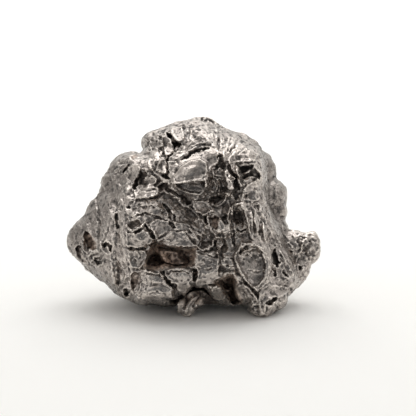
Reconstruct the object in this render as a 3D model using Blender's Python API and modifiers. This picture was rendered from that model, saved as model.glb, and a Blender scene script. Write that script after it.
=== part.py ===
# A natural iron meteorite, 40 mm wide: one lump of nickel-iron that rests on four worn feet.
# Its face has the plates, ledges, ridges and deep cavities of the real stone. The sides that
# are out of sight carry ledges and thumbprint hollows of the same kind.
import itertools
import math

import bmesh
import bpy
import numpy as np
from mathutils import Matrix

MM = 0.001

# Sizes are in millimetres. Places on the face are given on a squared sheet laid over the front
# view, with x to the right and y downwards, and widths on the sheet are in its squares.
STONE_WIDTH = 40.0
SHEET_LEFT, SHEET_RIGHT = 67.5, 321.5
SQUARE = STONE_WIDTH / (SHEET_RIGHT - SHEET_LEFT)
SHEET_CENTRE = (208.0, 208.0)
VIEW_LIFT = math.radians(10.0)
VIEW_DISTANCE = 220.0

BODY_CENTRE = (190.0, 222.0)
EDGE_ROUNDING = 2.4
BACK_ROUNDING = 6.5
GROUND = -15.2
FORM_VOXEL = 0.36
MOST_TRIANGLES = 9600

BODY_OUTLINE = [
    (194, 117), (204, 116), (211, 118), (216, 123), (230, 130.5), (245, 135), (255, 140.5), (262, 149),
    (266, 163), (267, 180), (269, 200), (275, 218), (284, 238), (293, 254), (299, 270), (300, 284),
    (293, 293), (284, 299), (272, 303), (262, 304), (250, 304), (240, 304), (228, 305), (214, 303),
    (200, 304), (184, 303), (172, 305), (160, 305.5), (151, 303), (143, 305.5), (132, 301.5),
    (120.5, 296.5), (109, 287.5), (95.5, 277), (80, 263), (69.5, 252), (67, 241), (70, 230), (76, 222),
    (83, 217), (90.5, 202), (97, 195), (103, 178), (109.5, 166), (116, 157.5), (124, 153), (133, 152),
    (142, 153), (145, 146), (145, 134), (156, 129), (168, 125), (181, 121.5),
]

# Height of the face towards the viewer, in mm, at places on the sheet.
FACE_HEIGHTS = [
    (197, 119, 1.2), (160, 132, 2.6), (228, 133, 2.6), (252, 143, 3.2), (200, 135, 5.4),
    (150, 150, 5.0), (228, 147, 7.0), (252, 155, 6.6), (190, 152, 8.2), (212, 152, 9.0),
    (120, 162, 3.4), (140, 167, 6.2), (160, 163, 7.4), (185, 168, 10.6), (205, 168, 10.8),
    (232, 168, 9.4), (258, 178, 7.4), (180, 181, 12.0), (203, 181, 12.2), (112, 187, 3.4),
    (130, 187, 6.2), (150, 184, 8.4), (222, 186, 9.8), (245, 190, 9.4), (190, 200, 9.8),
    (95, 213, 3.0), (112, 215, 6.0), (128, 212, 8.4), (147, 208, 9.6), (168, 212, 10.4),
    (198, 215, 10.4), (220, 215, 9.6), (240, 214, 10.4), (258, 214, 7.8), (74, 240, 2.2),
    (88, 240, 4.0), (105, 240, 6.6), (122, 240, 8.8), (140, 238, 10.2), (175, 236, 11.2),
    (205, 242, 11.0), (228, 240, 10.0), (250, 236, 9.6), (268, 236, 6.8), (280, 250, 5.4),
    (100, 264, 5.0), (118, 268, 7.4), (136, 262, 9.8), (168, 258, 11.0), (205, 266, 11.2),
    (226, 264, 10.6), (250, 264, 10.2), (272, 268, 7.6), (288, 274, 4.4), (120, 288, 6.6),
    (150, 288, 10.4), (180, 284, 10.9), (214, 292, 9.6), (250, 288, 9.4), (270, 292, 7.0),
    (140, 300, 8.4), (165, 300, 8.8), (190, 302, 7.4), (232, 303, 7.2), (262, 302, 8.6),
    (284, 292, 5.2),
]

# Height of the hidden back, away from the viewer, on the same sheet.
BACK_HEIGHTS = [
    (196, 124, 2.0), (150, 150, 4.5), (240, 145, 4.5), (200, 160, 8.0), (120, 175, 5.0),
    (255, 180, 7.0), (90, 235, 4.0), (140, 215, 9.5), (190, 205, 11.0), (235, 215, 10.4),
    (270, 235, 7.0), (110, 260, 7.0), (160, 262, 11.4), (215, 258, 11.8), (262, 268, 8.0),
    (135, 290, 9.0), (185, 292, 10.0), (240, 292, 9.4), (285, 280, 4.0),
]

# Lumps that stand out of the body: sheet place, depth behind the sheet, half sizes in mm.
LUMPS = {
    "upper_left_knob": dict(at=(154, 142), depth=1.0, half=(2.0, 3.2, 1.6)),
    "left_shoulder": dict(at=(130, 168), depth=0.5, half=(3.0, 3.6, 2.4)),
    "left_tip": dict(at=(82, 241), depth=1.0, half=(2.3, 3.4, 2.7)),
    "upper_back_lump": dict(at=(257, 172), depth=3.6, half=(3.0, 4.4, 3.4)),
    "middle_back_lump": dict(at=(268, 196), depth=3.4, half=(3.1, 4.4, 3.0)),
    "small_back_lump": dict(at=(279, 211), depth=2.6, half=(1.35, 2.4, 1.5)),
    "lower_back_lump": dict(at=(275, 234), depth=3.0, half=(2.3, 4.0, 3.0)),
    "knob_neck": dict(at=(294, 245.5), depth=1.4, half=(2.4, 2.5, 2.35)),
    "knob_shoulder": dict(at=(302, 246), depth=1.3, half=(1.9, 2.2, 2.1)),
    "knob": dict(at=(311, 247.5), depth=1.2, half=(1.62, 2.1, 2.55)),
    "ring_lump": dict(at=(300, 269), depth=1.0, half=(1.5, 2.0, 1.95)),
    "ring_lump_root": dict(at=(293, 273), depth=1.2, half=(1.8, 2.6, 2.6)),
    "front_foot": dict(at=(187, 306), depth=-6.6, half=(1.3, 1.5, 1.85)),
    "front_foot_root": dict(at=(195, 298), depth=-5.4, half=(1.8, 2.6, 1.5)),
    "right_foot": dict(at=(262, 303), depth=-6.0, half=(2.3, 2.8, 2.35)),
    "right_foot_shoulder": dict(at=(274, 298), depth=-4.4, half=(2.0, 3.0, 1.95)),
    "back_left_foot": dict(at=(148, 288), depth=6.0, half=(3.2, 3.0, 1.75)),
    "back_left_foot_root": dict(at=(148, 276), depth=5.2, half=(3.8, 3.6, 2.8)),
    "back_right_foot": dict(at=(246, 287), depth=6.4, half=(3.0, 2.8, 1.8)),
    "back_right_foot_root": dict(at=(244, 275), depth=5.4, half=(3.6, 3.6, 2.8)),
    "back_ridge": dict(at=(200, 214), depth=8.6, half=(7.0, 3.2, 4.6)),
    "back_knuckle": dict(at=(128, 238), depth=6.2, half=(3.6, 3.2, 3.0)),
    "back_crown": dict(at=(215, 158), depth=4.4, half=(4.4, 3.8, 3.2)),
    "back_heel": dict(at=(232, 262), depth=9.0, half=(4.4, 2.8, 3.4)),
}

# The feet keep their own round shape for this many mm round their middles.
FEET = ("front_foot", "right_foot", "back_left_foot", "back_right_foot")
FOOT_GUARD = 2.0

# Plates that stand off the face, or lie sunk in it: outline on the sheet, lift in mm, slope in
# mm per square across and down the sheet, and width of the step round it in squares.
PLATES = {
    "brow_block": dict(
        outline=[(167, 160), (174, 153), (186, 149), (199, 142), (212, 143), (218, 152), (217, 163),
                 (211, 168), (210, 178), (204, 190), (197, 199), (190, 200), (183, 192), (171, 184),
                 (169, 174)],
        lift=1.0, slope=(0.01, 0.012), step=1.6),
    "upper_left_plate": dict(
        outline=[(151, 157), (158, 150), (165, 150), (167, 158), (166, 172), (160, 176), (152, 172)],
        lift=0.5, slope=(0.01, 0.02), step=2.2),
    "standing_leaf": dict(
        outline=[(166, 150), (168, 143), (171, 141), (174, 146), (173, 152), (167, 157)],
        lift=0.7, slope=(0.0, 0.01), step=1.4),
    "crown_plate": dict(
        outline=[(186, 122), (197, 119), (205, 122), (212, 128), (213, 142), (200, 141), (188, 148),
                 (182, 142), (184, 130)],
        lift=0.5, slope=(0.0, 0.01), step=2.2),
    "right_brow": dict(
        outline=[(227, 158), (234, 151), (243, 148), (254, 147), (261, 151), (262, 166), (256, 165),
                 (240, 165), (229, 166)],
        lift=0.8, slope=(0.01, 0.015), step=1.8),
    "tongue_plate": dict(
        outline=[(191, 201), (200, 200), (208, 204), (213, 210), (209, 215), (203, 217), (196, 211)],
        lift=0.7, slope=(0.01, 0.02), step=1.6),
    "upper_middle_plate": dict(
        outline=[(134, 190), (142, 183), (153, 183), (158, 190), (157, 197), (144, 199), (135, 199)],
        lift=0.6, slope=(0.0, 0.025), step=1.8),
    "middle_plate": dict(
        outline=[(147, 221), (157, 217), (166, 214), (178, 220), (190, 222), (194, 232), (200, 241),
                 (196, 246), (184, 247), (171, 247), (158, 241), (152, 232)],
        lift=0.7, slope=(-0.004, 0.014), step=1.8),
    "left_middle_plate": dict(
        outline=[(123, 226), (131, 231), (137, 229), (145, 223), (151, 234), (156, 240), (149, 245),
                 (138, 248), (126, 247), (121, 238)],
        lift=0.8, slope=(0.01, 0.004), step=1.6),
    "hanging_plate": dict(
        outline=[(197, 247), (204, 250), (212, 246), (217, 238), (219, 247), (218, 262), (221, 272),
                 (231, 272), (226, 276), (216, 281), (204, 284), (197, 286), (195, 278), (197, 268),
                 (193, 266)],
        lift=0.8, slope=(0.006, 0.006), step=1.8),
    "lower_left_plate": dict(
        outline=[(142, 272), (151, 271), (161, 273), (166, 280), (170, 286), (175, 287), (174, 297),
                 (164, 298), (163, 303), (154, 304), (148, 301), (142, 305), (133, 300), (136, 290),
                 (142, 281)],
        lift=0.9, slope=(0.006, 0.004), step=1.6),
    "shield_plate": dict(
        outline=[(167, 271), (171, 268), (177, 270), (185, 269), (194, 273), (191, 284), (186, 293),
                 (179, 292), (175, 285), (168, 279)],
        lift=1.0, slope=(0.0, -0.01), step=1.6),
    "fang_plate": dict(
        outline=[(211, 288), (216, 286), (222, 290), (225, 297), (230, 304), (222, 303), (215, 298)],
        lift=0.5, slope=(0.0, 0.0), step=1.6),
    "oval_dish": dict(
        outline=[(242, 250), (250, 249), (257, 250), (262, 257), (264, 268), (263, 278), (256, 285),
                 (248, 282), (242, 272), (238, 263), (238, 255)],
        lift=-0.9, slope=(-0.012, 0.01), step=2.2),
    "oval_dish_band": dict(
        outline=[(256, 245), (266, 248), (271, 256), (271, 270), (269, 281), (262, 288), (256, 292),
                 (250, 286), (259, 282), (265, 275), (265, 262), (260, 251)],
        lift=0.7, slope=(0.0, 0.0), step=1.8),
    "lower_right_plate": dict(
        outline=[(239, 286), (245, 284), (252, 289), (258, 296), (259, 303), (253, 308), (246, 299)],
        lift=0.5, slope=(0.0, 0.0), step=1.6),
    "foot_plate": dict(
        outline=[(258, 291), (268, 286), (278, 287), (286, 292), (278, 299), (268, 300), (264, 308),
                 (258, 302)],
        lift=0.6, slope=(0.0, 0.0), step=1.8),
}

# Hollows cut into the face: mouth outline on the sheet, depth in mm, width of the wall.
HOLLOWS = {
    "main_cavity": dict(
        mouth=[(143, 268), (147, 257), (147, 249), (154, 243), (158, 242), (165, 246), (172, 248),
               (197, 247), (196, 257), (192, 268), (182, 267), (174, 269), (166, 267), (150, 270)],
        depth=3.6, wall=2.4),
    "cavity_slot": dict(
        mouth=[(148, 264), (156, 256), (168, 262), (182, 264), (190, 262), (192, 267), (166, 267),
               (150, 269)],
        depth=1.5, wall=2.0),
    "cavity_chamber": dict(
        mouth=[(183, 249), (195, 248), (194, 258), (191, 264), (186, 258)],
        depth=0.9, wall=1.8),
    "lower_cavity": dict(
        mouth=[(206, 283), (219, 278), (226, 274), (232, 274), (237, 278), (236, 288), (239, 297),
               (243, 304), (232, 305), (226, 297), (221, 288), (212, 286)],
        depth=4.0, wall=2.4),
    "belly_cavity": dict(
        mouth=[(187, 286), (193, 283), (199, 286), (205, 285), (211, 291), (215, 299), (222, 304),
               (205, 306), (190, 305), (176, 304), (166, 300), (176, 297), (180, 294), (186, 294)],
        depth=3.6, wall=2.6),
    "brow_hollow": dict(
        mouth=[(178, 196), (184, 194), (190, 199), (191, 205), (185, 206), (180, 201)],
        depth=2.4, wall=2.0),
    "brow_side_hollow": dict(
        mouth=[(158, 184), (164, 181), (169, 183), (172, 190), (180, 194), (176, 196), (168, 193),
               (160, 193)],
        depth=1.8, wall=2.0),
    "brow_underside": dict(
        mouth=[(177, 184), (190, 182), (204, 181), (204, 187), (200, 191), (188, 190)],
        depth=0.7, wall=1.6),
    "brow_slit": dict(
        mouth=[(177, 162), (186, 156), (194, 151), (202, 147), (209, 148), (205, 153), (196, 155),
               (187, 161)],
        depth=1.0, wall=1.6),
    "upper_pit": dict(
        mouth=[(137, 176), (141, 172), (147, 172), (147, 178), (142, 182), (137, 188), (133, 191),
               (133, 185), (137, 182)],
        depth=1.8, wall=1.6),
    "crown_slit": dict(
        mouth=[(166, 133), (171, 134), (175, 140), (181, 144), (181, 148), (176, 151), (173, 147),
               (172, 142), (168, 138)],
        depth=2.2, wall=1.6),
    "left_shoulder_pit": dict(
        mouth=[(120, 173), (125, 167), (129, 163), (131, 166), (127, 171), (123, 175)],
        depth=0.9, wall=1.4),
    "right_socket": dict(
        mouth=[(238, 166), (246, 165), (254, 166), (257, 172), (261, 176), (258, 180), (250, 178),
               (243, 181), (239, 176)],
        depth=1.7, wall=1.6),
    "right_valley": dict(
        mouth=[(229, 168), (235, 174), (240, 182), (242, 192), (238, 199), (231, 197), (233, 186),
               (230, 177)],
        depth=1.7, wall=2.0),
    "left_valley": dict(
        mouth=[(212, 179), (218, 177), (225, 181), (226, 190), (222, 196), (214, 194), (209, 188)],
        depth=1.6, wall=2.0),
    "loop_hollow": dict(
        mouth=[(206, 196), (214, 194), (223, 195), (224, 199), (220, 204), (214, 204), (208, 201)],
        depth=1.2, wall=1.4),
    "pane": dict(
        mouth=[(233, 207), (241, 205), (243, 213), (246, 221), (247, 230), (242, 234), (236, 231),
               (233, 220)],
        depth=1.2, wall=1.4),
    "ledge_hollow": dict(
        mouth=[(130, 222), (140, 219), (150, 219), (145, 222), (137, 228), (131, 229)],
        depth=0.9, wall=1.4),
    "ladder_hollow": dict(
        mouth=[(210, 217), (216, 215), (219, 224), (216, 232), (211, 227), (208, 221)],
        depth=1.4, wall=1.4),
    "step_hollow": dict(
        mouth=[(165, 203), (171, 206), (176, 213), (178, 220), (170, 221), (165, 215), (161, 206)],
        depth=0.9, wall=1.8),
    "scoop": dict(
        mouth=[(200, 242), (210, 240), (213, 243), (208, 248), (201, 247)],
        depth=0.7, wall=1.4),
    "right_slot": dict(
        mouth=[(272, 247), (275, 248), (278, 256), (279, 262), (275, 268), (272, 258)],
        depth=2.2, wall=1.4),
    "foot_pit": dict(
        mouth=[(266, 303), (271, 299), (276, 297), (276, 302), (269, 308)],
        depth=1.3, wall=1.4),
    "tip_pit": dict(
        mouth=[(83, 235), (87, 231), (92, 238), (96, 245), (93, 251), (88, 250), (83, 244)],
        depth=2.2, wall=1.8),
    "tip_slot": dict(
        mouth=[(75, 249), (79, 244), (81, 250), (81, 256), (87, 264), (82, 262), (77, 256)],
        depth=1.2, wall=1.4),
    "tip_socket": dict(
        mouth=[(101, 247), (103, 243), (110, 240), (113, 244), (112, 252), (105, 251)],
        depth=1.3, wall=1.6),
    "lower_left_pit": dict(
        mouth=[(123, 290), (130, 288), (132, 293), (130, 298), (123, 297)],
        depth=1.9, wall=1.4),
    "left_seam": dict(
        mouth=[(131, 274), (136, 271), (141, 273), (140, 281), (134, 290), (131, 283)],
        depth=1.0, wall=1.6),
}

# Ridges and cracks along lines on the sheet: height in mm, negative for a crack, and how far
# the form runs out on the left and on the right of the line, in squares.
LINES = {
    "brow_crack": dict(
        path=[(168, 158), (167, 168), (169, 178), (172, 187), (180, 193)], height=-1.2, left=2.2, right=2.2),
    "brow_edge": dict(
        path=[(173, 183), (190, 182), (204, 180)], height=0.5, left=6.0, right=2.2),
    "curl_ridge": dict(
        path=[(214, 143), (217, 150), (218, 158), (216, 165), (211, 170), (212, 178)],
        height=0.6, left=2.2, right=2.2),
    "curl_crack": dict(
        path=[(217, 144), (220, 152), (220, 162), (216, 169), (213, 178)], height=-1.2, left=2.2, right=2.2),
    "crown_crack": dict(
        path=[(183, 127), (186, 135), (184, 145)], height=-0.5, left=2.2, right=2.2),
    "right_ridge": dict(
        path=[(261, 150), (262, 165), (262, 182), (266, 200), (272, 220), (280, 240)],
        height=0.7, left=2.2, right=2.2),
    "nose_ridge": dict(
        path=[(224, 150), (227, 165), (228, 180), (229, 195)], height=0.8, left=2.6, right=2.6),
    "loop_ridge": dict(
        path=[(206, 200), (211, 204), (217, 206), (223, 202), (227, 195)], height=0.7, left=2.2, right=2.2),
    "pane_ridge": dict(
        path=[(231, 214), (233, 206), (240, 204), (243, 212), (247, 221), (249, 232)],
        height=0.9, left=2.2, right=2.2),
    "pane_left_ridge": dict(
        path=[(231, 214), (231, 228), (232, 240)], height=0.5, left=2.2, right=2.2),
    "middle_ledge": dict(
        path=[(126, 225), (132, 230), (138, 228), (145, 222)], height=0.7, left=2.2, right=2.2),
    "elbow_ledge": dict(
        path=[(145, 222), (148, 230), (153, 236), (157, 241)], height=0.6, left=2.2, right=2.2),
    "hook_ridge": dict(
        path=[(197, 247), (204, 250), (211, 247), (215, 239), (218, 239), (218, 248)],
        height=0.7, left=2.2, right=2.2),
    "spike_ridge": dict(
        path=[(206, 216), (208, 224), (212, 230), (216, 234)], height=0.7, left=2.2, right=2.2),
    "dish_left_rim": dict(
        path=[(242, 243), (238, 251), (235, 261), (239, 271), (246, 283)], height=0.9, left=2.2, right=2.2),
    "dish_top_rim": dict(
        path=[(242, 247), (250, 246), (257, 246), (262, 250)], height=0.5, left=2.2, right=2.2),
    "dish_crack": dict(
        path=[(234, 262), (238, 271), (243, 280), (251, 288)], height=-0.8, left=2.2, right=2.2),
    "right_long_ridge": dict(
        path=[(243, 204), (252, 218), (258, 232), (266, 246), (276, 262), (290, 280)],
        height=0.6, left=2.4, right=2.4),
    "right_long_crack": dict(
        path=[(259, 222), (260, 235), (266, 244)], height=-0.7, left=2.2, right=2.2),
    "outer_right_ridge": dict(
        path=[(270, 222), (276, 238), (284, 250), (291, 262), (294, 276)], height=0.6, left=2.2, right=2.2),
    "diagonal_crack": dict(
        path=[(172, 197), (180, 205), (190, 209), (201, 218)], height=-0.8, left=2.2, right=2.2),
    "left_edge": dict(
        path=[(143, 158), (134, 176), (128, 196), (124, 215), (120, 235), (124, 255), (130, 275)],
        height=0.5, left=3.0, right=3.0),
    "left_groove": dict(
        path=[(116, 200), (118, 220), (117, 240), (121, 256)], height=-0.8, left=2.4, right=2.2),
    "left_ridge": dict(
        path=[(108, 196), (110, 215), (108, 235)], height=0.5, left=2.2, right=2.2),
    "outer_left_groove": dict(
        path=[(98, 205), (99, 222), (98, 238)], height=-0.7, left=2.2, right=2.2),
    "lower_left_ridge": dict(
        path=[(111, 258), (113, 270), (116, 285)], height=0.6, left=2.2, right=2.2),
    "lower_left_crack": dict(
        path=[(117, 268), (119, 280), (118, 287)], height=-0.7, left=2.2, right=2.2),
}

# Layered flakes of the face between its plates: size of the large and small ones and their
# depth, and the small crests between them, in mm.
FLAKE_SIZE, FLAKE_DEPTH = 3.2, 1.2
SMALL_FLAKE_SIZE, SMALL_FLAKE_DEPTH = 1.8, 0.6
CREST_SIZE, CREST_HEIGHT, CREST_WIDTH = 1.5, 0.14, 0.25
FLAKE_STEPS, SMALL_FLAKE_STEPS = 3.0, 2.5
FLAKE_STRETCH, SMALL_FLAKE_STRETCH = (1.0, 1.2, 1.0), (1.1, 0.9, 1.0)
FLAKE_BEND_SIZE, FLAKE_BEND = 1.8, 0.5
RELIEF_FADE = 6.0
STEP_WIDTH = 0.3
SURFACE_SOFTNESS = 9.0

# The face's lines waver: size of the waves and how far they reach, in squares.
WAVE_SIZE, WAVE_REACH = 9.0, 1.5
SMALL_WAVE_SIZE, SMALL_WAVE_REACH = 4.2, 0.5

# Plates that are smoother than the rest, with the share of flake relief they lose.
SMOOTH_PLATES = {
    "brow_block": 0.6, "lower_left_plate": 0.85, "shield_plate": 0.9, "oval_dish": 0.9,
    "oval_dish_band": 0.8, "hanging_plate": 0.7, "middle_plate": 0.5, "right_brow": 0.5,
}

# Ledges and thumbprint hollows of the hidden sides: mean size and depth in mm.
LEDGE_SIZE, LEDGE_DEPTH = 6.0, 0.9
THUMB_SIZE, THUMB_DEPTH = 8.0, 1.1
THUMB_EDGE, THUMB_WALL = 0.05, 0.4
SIDE_FLAKE_SIZE, SIDE_FLAKE_DEPTH = 4.4, 1.1
SEAM_DEPTH, SEAM_WIDTH = 0.7, 0.45
SIDE_BEND_SIZE, SIDE_BEND = 4.5, 1.4
SIDE_STRETCH = (1.0, 1.0, 0.8)

# The side relief starts this far behind the sheet, farther on the right, where more is in view.
HIDDEN_FROM, HIDDEN_RUN = 0.4, 3.0
RIGHT_FROM, RIGHT_RUN, RIGHT_SEEN = 6.0, 3.0, 5.0

# Underneath, the relief only cuts inwards, so that nothing reaches below the feet.
UNDERNEATH_FROM, UNDERNEATH_RUN, UNDERNEATH_SHARE = 11.5, 3.0, 0.7

# First seed of each random form. A form that needs more than one takes the numbers after it.
SEEDS = dict(
    wave=3, small_wave=5, side_bend=11, ledges=21, thumbs=31, side_flakes=41,
    flake_bend=61, flakes=71, small_flakes=81, crests=91)

# Along the bottom the rim lies this far in front of the sheet, and from there the underside
# climbs towards the back, so that the stone stands on its feet.
BOTTOM_RIM_FORWARD = 4.0
BOTTOM_RIM_FROM, BOTTOM_RIM_RUN = 284.0, 16.0
UNDERSIDE_CLIMB, CLIMB_FROM, CLIMB_RUN = 0.34, 7.0, 7.0

BODY_FINENESS, LUMP_FINENESS = 7, 4

IRON_COLOUR = (0.36, 0.34, 0.32, 1.0)
IRON_ROUGHNESS = 0.42


def clear_scene():
    for obj in list(bpy.data.objects):
        bpy.data.objects.remove(obj, do_unlink=True)


def smooth_step(share):
    share = np.clip(share, 0.0, 1.0)
    return share * share * (3.0 - 2.0 * share)


# Repeatable roughness

def random_at(cells, seed):
    """Three repeatable numbers from -1 to 1 for each whole-numbered cell."""
    mixed = cells[:, 0] * 73856093 ^ cells[:, 1] * 19349663 ^ cells[:, 2] * 83492791 ^ seed * 40503
    mixed &= 0xFFFFFFFF
    values = []
    for _ in range(3):
        mixed = (mixed ^ mixed >> 15) * 0x2C1B3C6D & 0xFFFFFFFF
        mixed = (mixed ^ mixed >> 12) * 0x297A2D39 & 0xFFFFFFFF
        values.append(mixed / 0x7FFFFFFF - 1.0)
    return np.stack(values, axis=1)


def noise(points, size, seed):
    """Smooth noise from about -1 to 1, with forms one size across."""
    scaled = points / size
    corner = np.floor(scaled).astype(np.int64)
    part = scaled - corner
    fade = part ** 3 * (part * (part * 6.0 - 15.0) + 10.0)
    total = np.zeros(len(points))
    for step in itertools.product((0, 1), repeat=3):
        step = np.array(step)
        gradient = random_at(corner + step, seed)
        weight = np.where(step, fade, 1.0 - fade).prod(axis=1)
        total += weight * ((part - step) * gradient).sum(axis=1)
    return total * 1.5


def swirl(points, size, reach, seed):
    """Smooth shifts in three directions."""
    return np.stack([noise(points, size, seed + axis) for axis in range(3)], axis=1) * reach


def terraces(points, size, steps, seed):
    """Noise cut into level steps with short steep faces between them."""
    value = noise(points, size, seed) + 0.45 * noise(points, size * 0.42, seed + 1)
    level = value * steps
    part = level - np.floor(level)
    return (np.floor(level) + smooth_step((part - 0.5) / STEP_WIDTH + 0.5)) / steps


def ledges(points, size, seed):
    """Each point's own cell: a height from -1 to 1 that leans across the cell, and the gap to the next."""
    scaled = points / size
    home = np.floor(scaled).astype(np.int64)
    first = np.full(len(points), 9.0)
    second = np.full(len(points), 9.0)
    height = np.zeros(len(points))
    for step in itertools.product((-1, 0, 1), repeat=3):
        cell = home + np.array(step)
        offset = scaled - (cell + 0.5 + 0.42 * random_at(cell, seed))
        distance = np.linalg.norm(offset, axis=1)
        lean = random_at(cell, seed + 1)
        cell_height = 0.6 * lean[:, 0] + (offset * lean[:, ::-1]).sum(axis=1)
        nearer = distance < first
        second = np.where(nearer, first, np.minimum(second, distance))
        height = np.where(nearer, cell_height, height)
        first = np.where(nearer, distance, first)
    return height, (second - first) * size


# Places on the face sheet

def from_sheet(place, depth):
    """The point that shows at a place on the sheet, at a depth behind it."""
    spread = (VIEW_DISTANCE + depth) / VIEW_DISTANCE * SQUARE
    return ((place[0] - SHEET_CENTRE[0]) * spread, depth, (SHEET_CENTRE[1] - place[1]) * spread)


def on_sheet(places):
    """Places as points of the flat sheet, in squares."""
    return np.stack([places[:, 0], places[:, 1], np.zeros(len(places))], axis=1)


def near_shape(places, corners, margin):
    corners = np.array(corners, float)
    low = corners.min(axis=0) - margin
    high = corners.max(axis=0) + margin
    return ((places > low) & (places < high)).all(axis=1)


def segment_gap(places, start, end):
    """Distance from each place to a segment, and on which side of it the place lies."""
    run = end - start
    offset = places - start
    share = np.clip(offset @ run / (run @ run), 0.0, 1.0)
    gap = np.linalg.norm(offset - share[:, None] * run, axis=1)
    side = run[0] * offset[:, 1] - run[1] * offset[:, 0]
    return gap, side


def inside_gap(places, outline):
    """Distance inside a closed outline, negative outside it."""
    outline = np.array(outline, float)
    nearest = np.full(len(places), 1e9)
    within = np.zeros(len(places), bool)
    for start, end in zip(outline, np.roll(outline, -1, axis=0)):
        nearest = np.minimum(nearest, segment_gap(places, start, end)[0])
        spans = (start[1] > places[:, 1]) != (end[1] > places[:, 1])
        if start[1] != end[1]:
            slope = (end[0] - start[0]) / (end[1] - start[1])
            within ^= spans & (places[:, 0] < start[0] + (places[:, 1] - start[1]) * slope)
    return np.where(within, nearest, -nearest)


def line_gap(places, path):
    """Distance to an open path, positive on its right and negative on its left."""
    path = np.array(path, float)
    nearest = np.full(len(places), 1e9)
    sign = np.ones(len(places))
    for start, end in zip(path, path[1:]):
        gap, side = segment_gap(places, start, end)
        nearer = gap < nearest
        sign = np.where(nearer, np.where(side > 0, 1.0, -1.0), sign)
        nearest = np.where(nearer, gap, nearest)
    return nearest * sign


def spot_surface(places, spots):
    """A smooth surface through heights given at places on the sheet."""
    spots = np.array(spots, float)

    def spread(a, b):
        return np.sqrt(((a[:, None, :] - b[None, :, :]) ** 2).sum(axis=2) + SURFACE_SOFTNESS ** 2)

    mean = spots[:, 2].mean()
    weights = np.linalg.solve(spread(spots[:, :2], spots[:, :2]), spots[:, 2] - mean)
    return mean + spread(places, spots[:, :2]) @ weights


def edge_profile(gap, width):
    """A quarter-round from 0 at the outline to 1 at this width inside it."""
    share = np.clip(gap * SQUARE / width, 0.0, 1.0)
    return np.sqrt(1.0 - (1.0 - share) ** 2)


# The stone's form

def face_relief(places):
    """Plates, hollows, ridges and cracks of the face, in mm towards the viewer."""
    relief = np.zeros(len(places))
    for plate in PLATES.values():
        near = near_shape(places, plate["outline"], plate["step"])
        gap = inside_gap(places[near], plate["outline"])
        middle = np.mean(plate["outline"], axis=0)
        lean = (places[near] - middle) @ np.array(plate["slope"])
        relief[near] += smooth_step(gap / plate["step"] + 0.5) * (plate["lift"] + lean)
    for line in LINES.values():
        near = near_shape(places, line["path"], 3.0 * max(line["left"], line["right"]))
        gap = line_gap(places[near], line["path"])
        run = np.where(gap > 0, line["right"], line["left"])
        relief[near] += line["height"] * np.exp(-(gap / run) ** 2)
    for hollow in HOLLOWS.values():
        near = near_shape(places, hollow["mouth"], 0.0)
        gap = inside_gap(places[near], hollow["mouth"])
        relief[near] -= hollow["depth"] * smooth_step(gap / hollow["wall"])
    return relief


def face_flakes(places):
    """Thin broken layers with small crests, weaker on the smooth plates."""
    points = on_sheet(places) * SQUARE
    bent = points + swirl(points, FLAKE_BEND_SIZE, FLAKE_BEND, SEEDS["flake_bend"])
    relief = FLAKE_DEPTH * terraces(bent * FLAKE_STRETCH, FLAKE_SIZE, FLAKE_STEPS, SEEDS["flakes"])
    relief += SMALL_FLAKE_DEPTH * terraces(
        bent * SMALL_FLAKE_STRETCH + 9.0, SMALL_FLAKE_SIZE, SMALL_FLAKE_STEPS, SEEDS["small_flakes"])
    crest = np.abs(noise(bent + 4.0, CREST_SIZE, SEEDS["crests"])) / CREST_WIDTH
    relief += CREST_HEIGHT * np.clip(1.0 - crest, 0.0, 1.0)
    for name, share in SMOOTH_PLATES.items():
        outline = PLATES[name]["outline"]
        near = near_shape(places, outline, 0.0)
        relief[near] *= 1.0 - share * smooth_step(inside_gap(places[near], outline) / 2.0)
    return relief


def rim_forward(places):
    """How far the outline's rim lies in front of the sheet: only along the bottom."""
    return BOTTOM_RIM_FORWARD * smooth_step((places[:, 1] - BOTTOM_RIM_FROM) / BOTTOM_RIM_RUN)


def face_height(places):
    """The whole height of the face over the sheet, which falls to nothing at the outline."""
    flat = on_sheet(places)
    waves = swirl(flat, WAVE_SIZE, WAVE_REACH, SEEDS["wave"])
    waves += swirl(flat, SMALL_WAVE_SIZE, SMALL_WAVE_REACH, SEEDS["small_wave"])
    wavy = places + waves[:, :2]
    gap = inside_gap(places, BODY_OUTLINE)
    rounding = edge_profile(gap, EDGE_ROUNDING)
    form = spot_surface(places, FACE_HEIGHTS) * rounding + rim_forward(places) * (1.0 - rounding)
    relief = face_relief(wavy) + face_flakes(wavy)
    return form + relief * smooth_step(gap / RELIEF_FADE)


def back_height(places):
    rounding = edge_profile(inside_gap(places, BODY_OUTLINE), BACK_ROUNDING)
    return spot_surface(places, BACK_HEIGHTS) * rounding - rim_forward(places) * (1.0 - rounding)


def coordinates(mesh):
    values = np.empty(len(mesh.vertices) * 3)
    mesh.vertices.foreach_get("co", values)
    return values.reshape(-1, 3) / MM


def move_vertices(mesh, points):
    mesh.vertices.foreach_set("co", (points * MM).ravel())
    mesh.update()


def vertex_normals(mesh):
    values = np.empty(len(mesh.vertices) * 3)
    mesh.vertex_normals.foreach_get("vector", values)
    return values.reshape(-1, 3)


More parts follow.
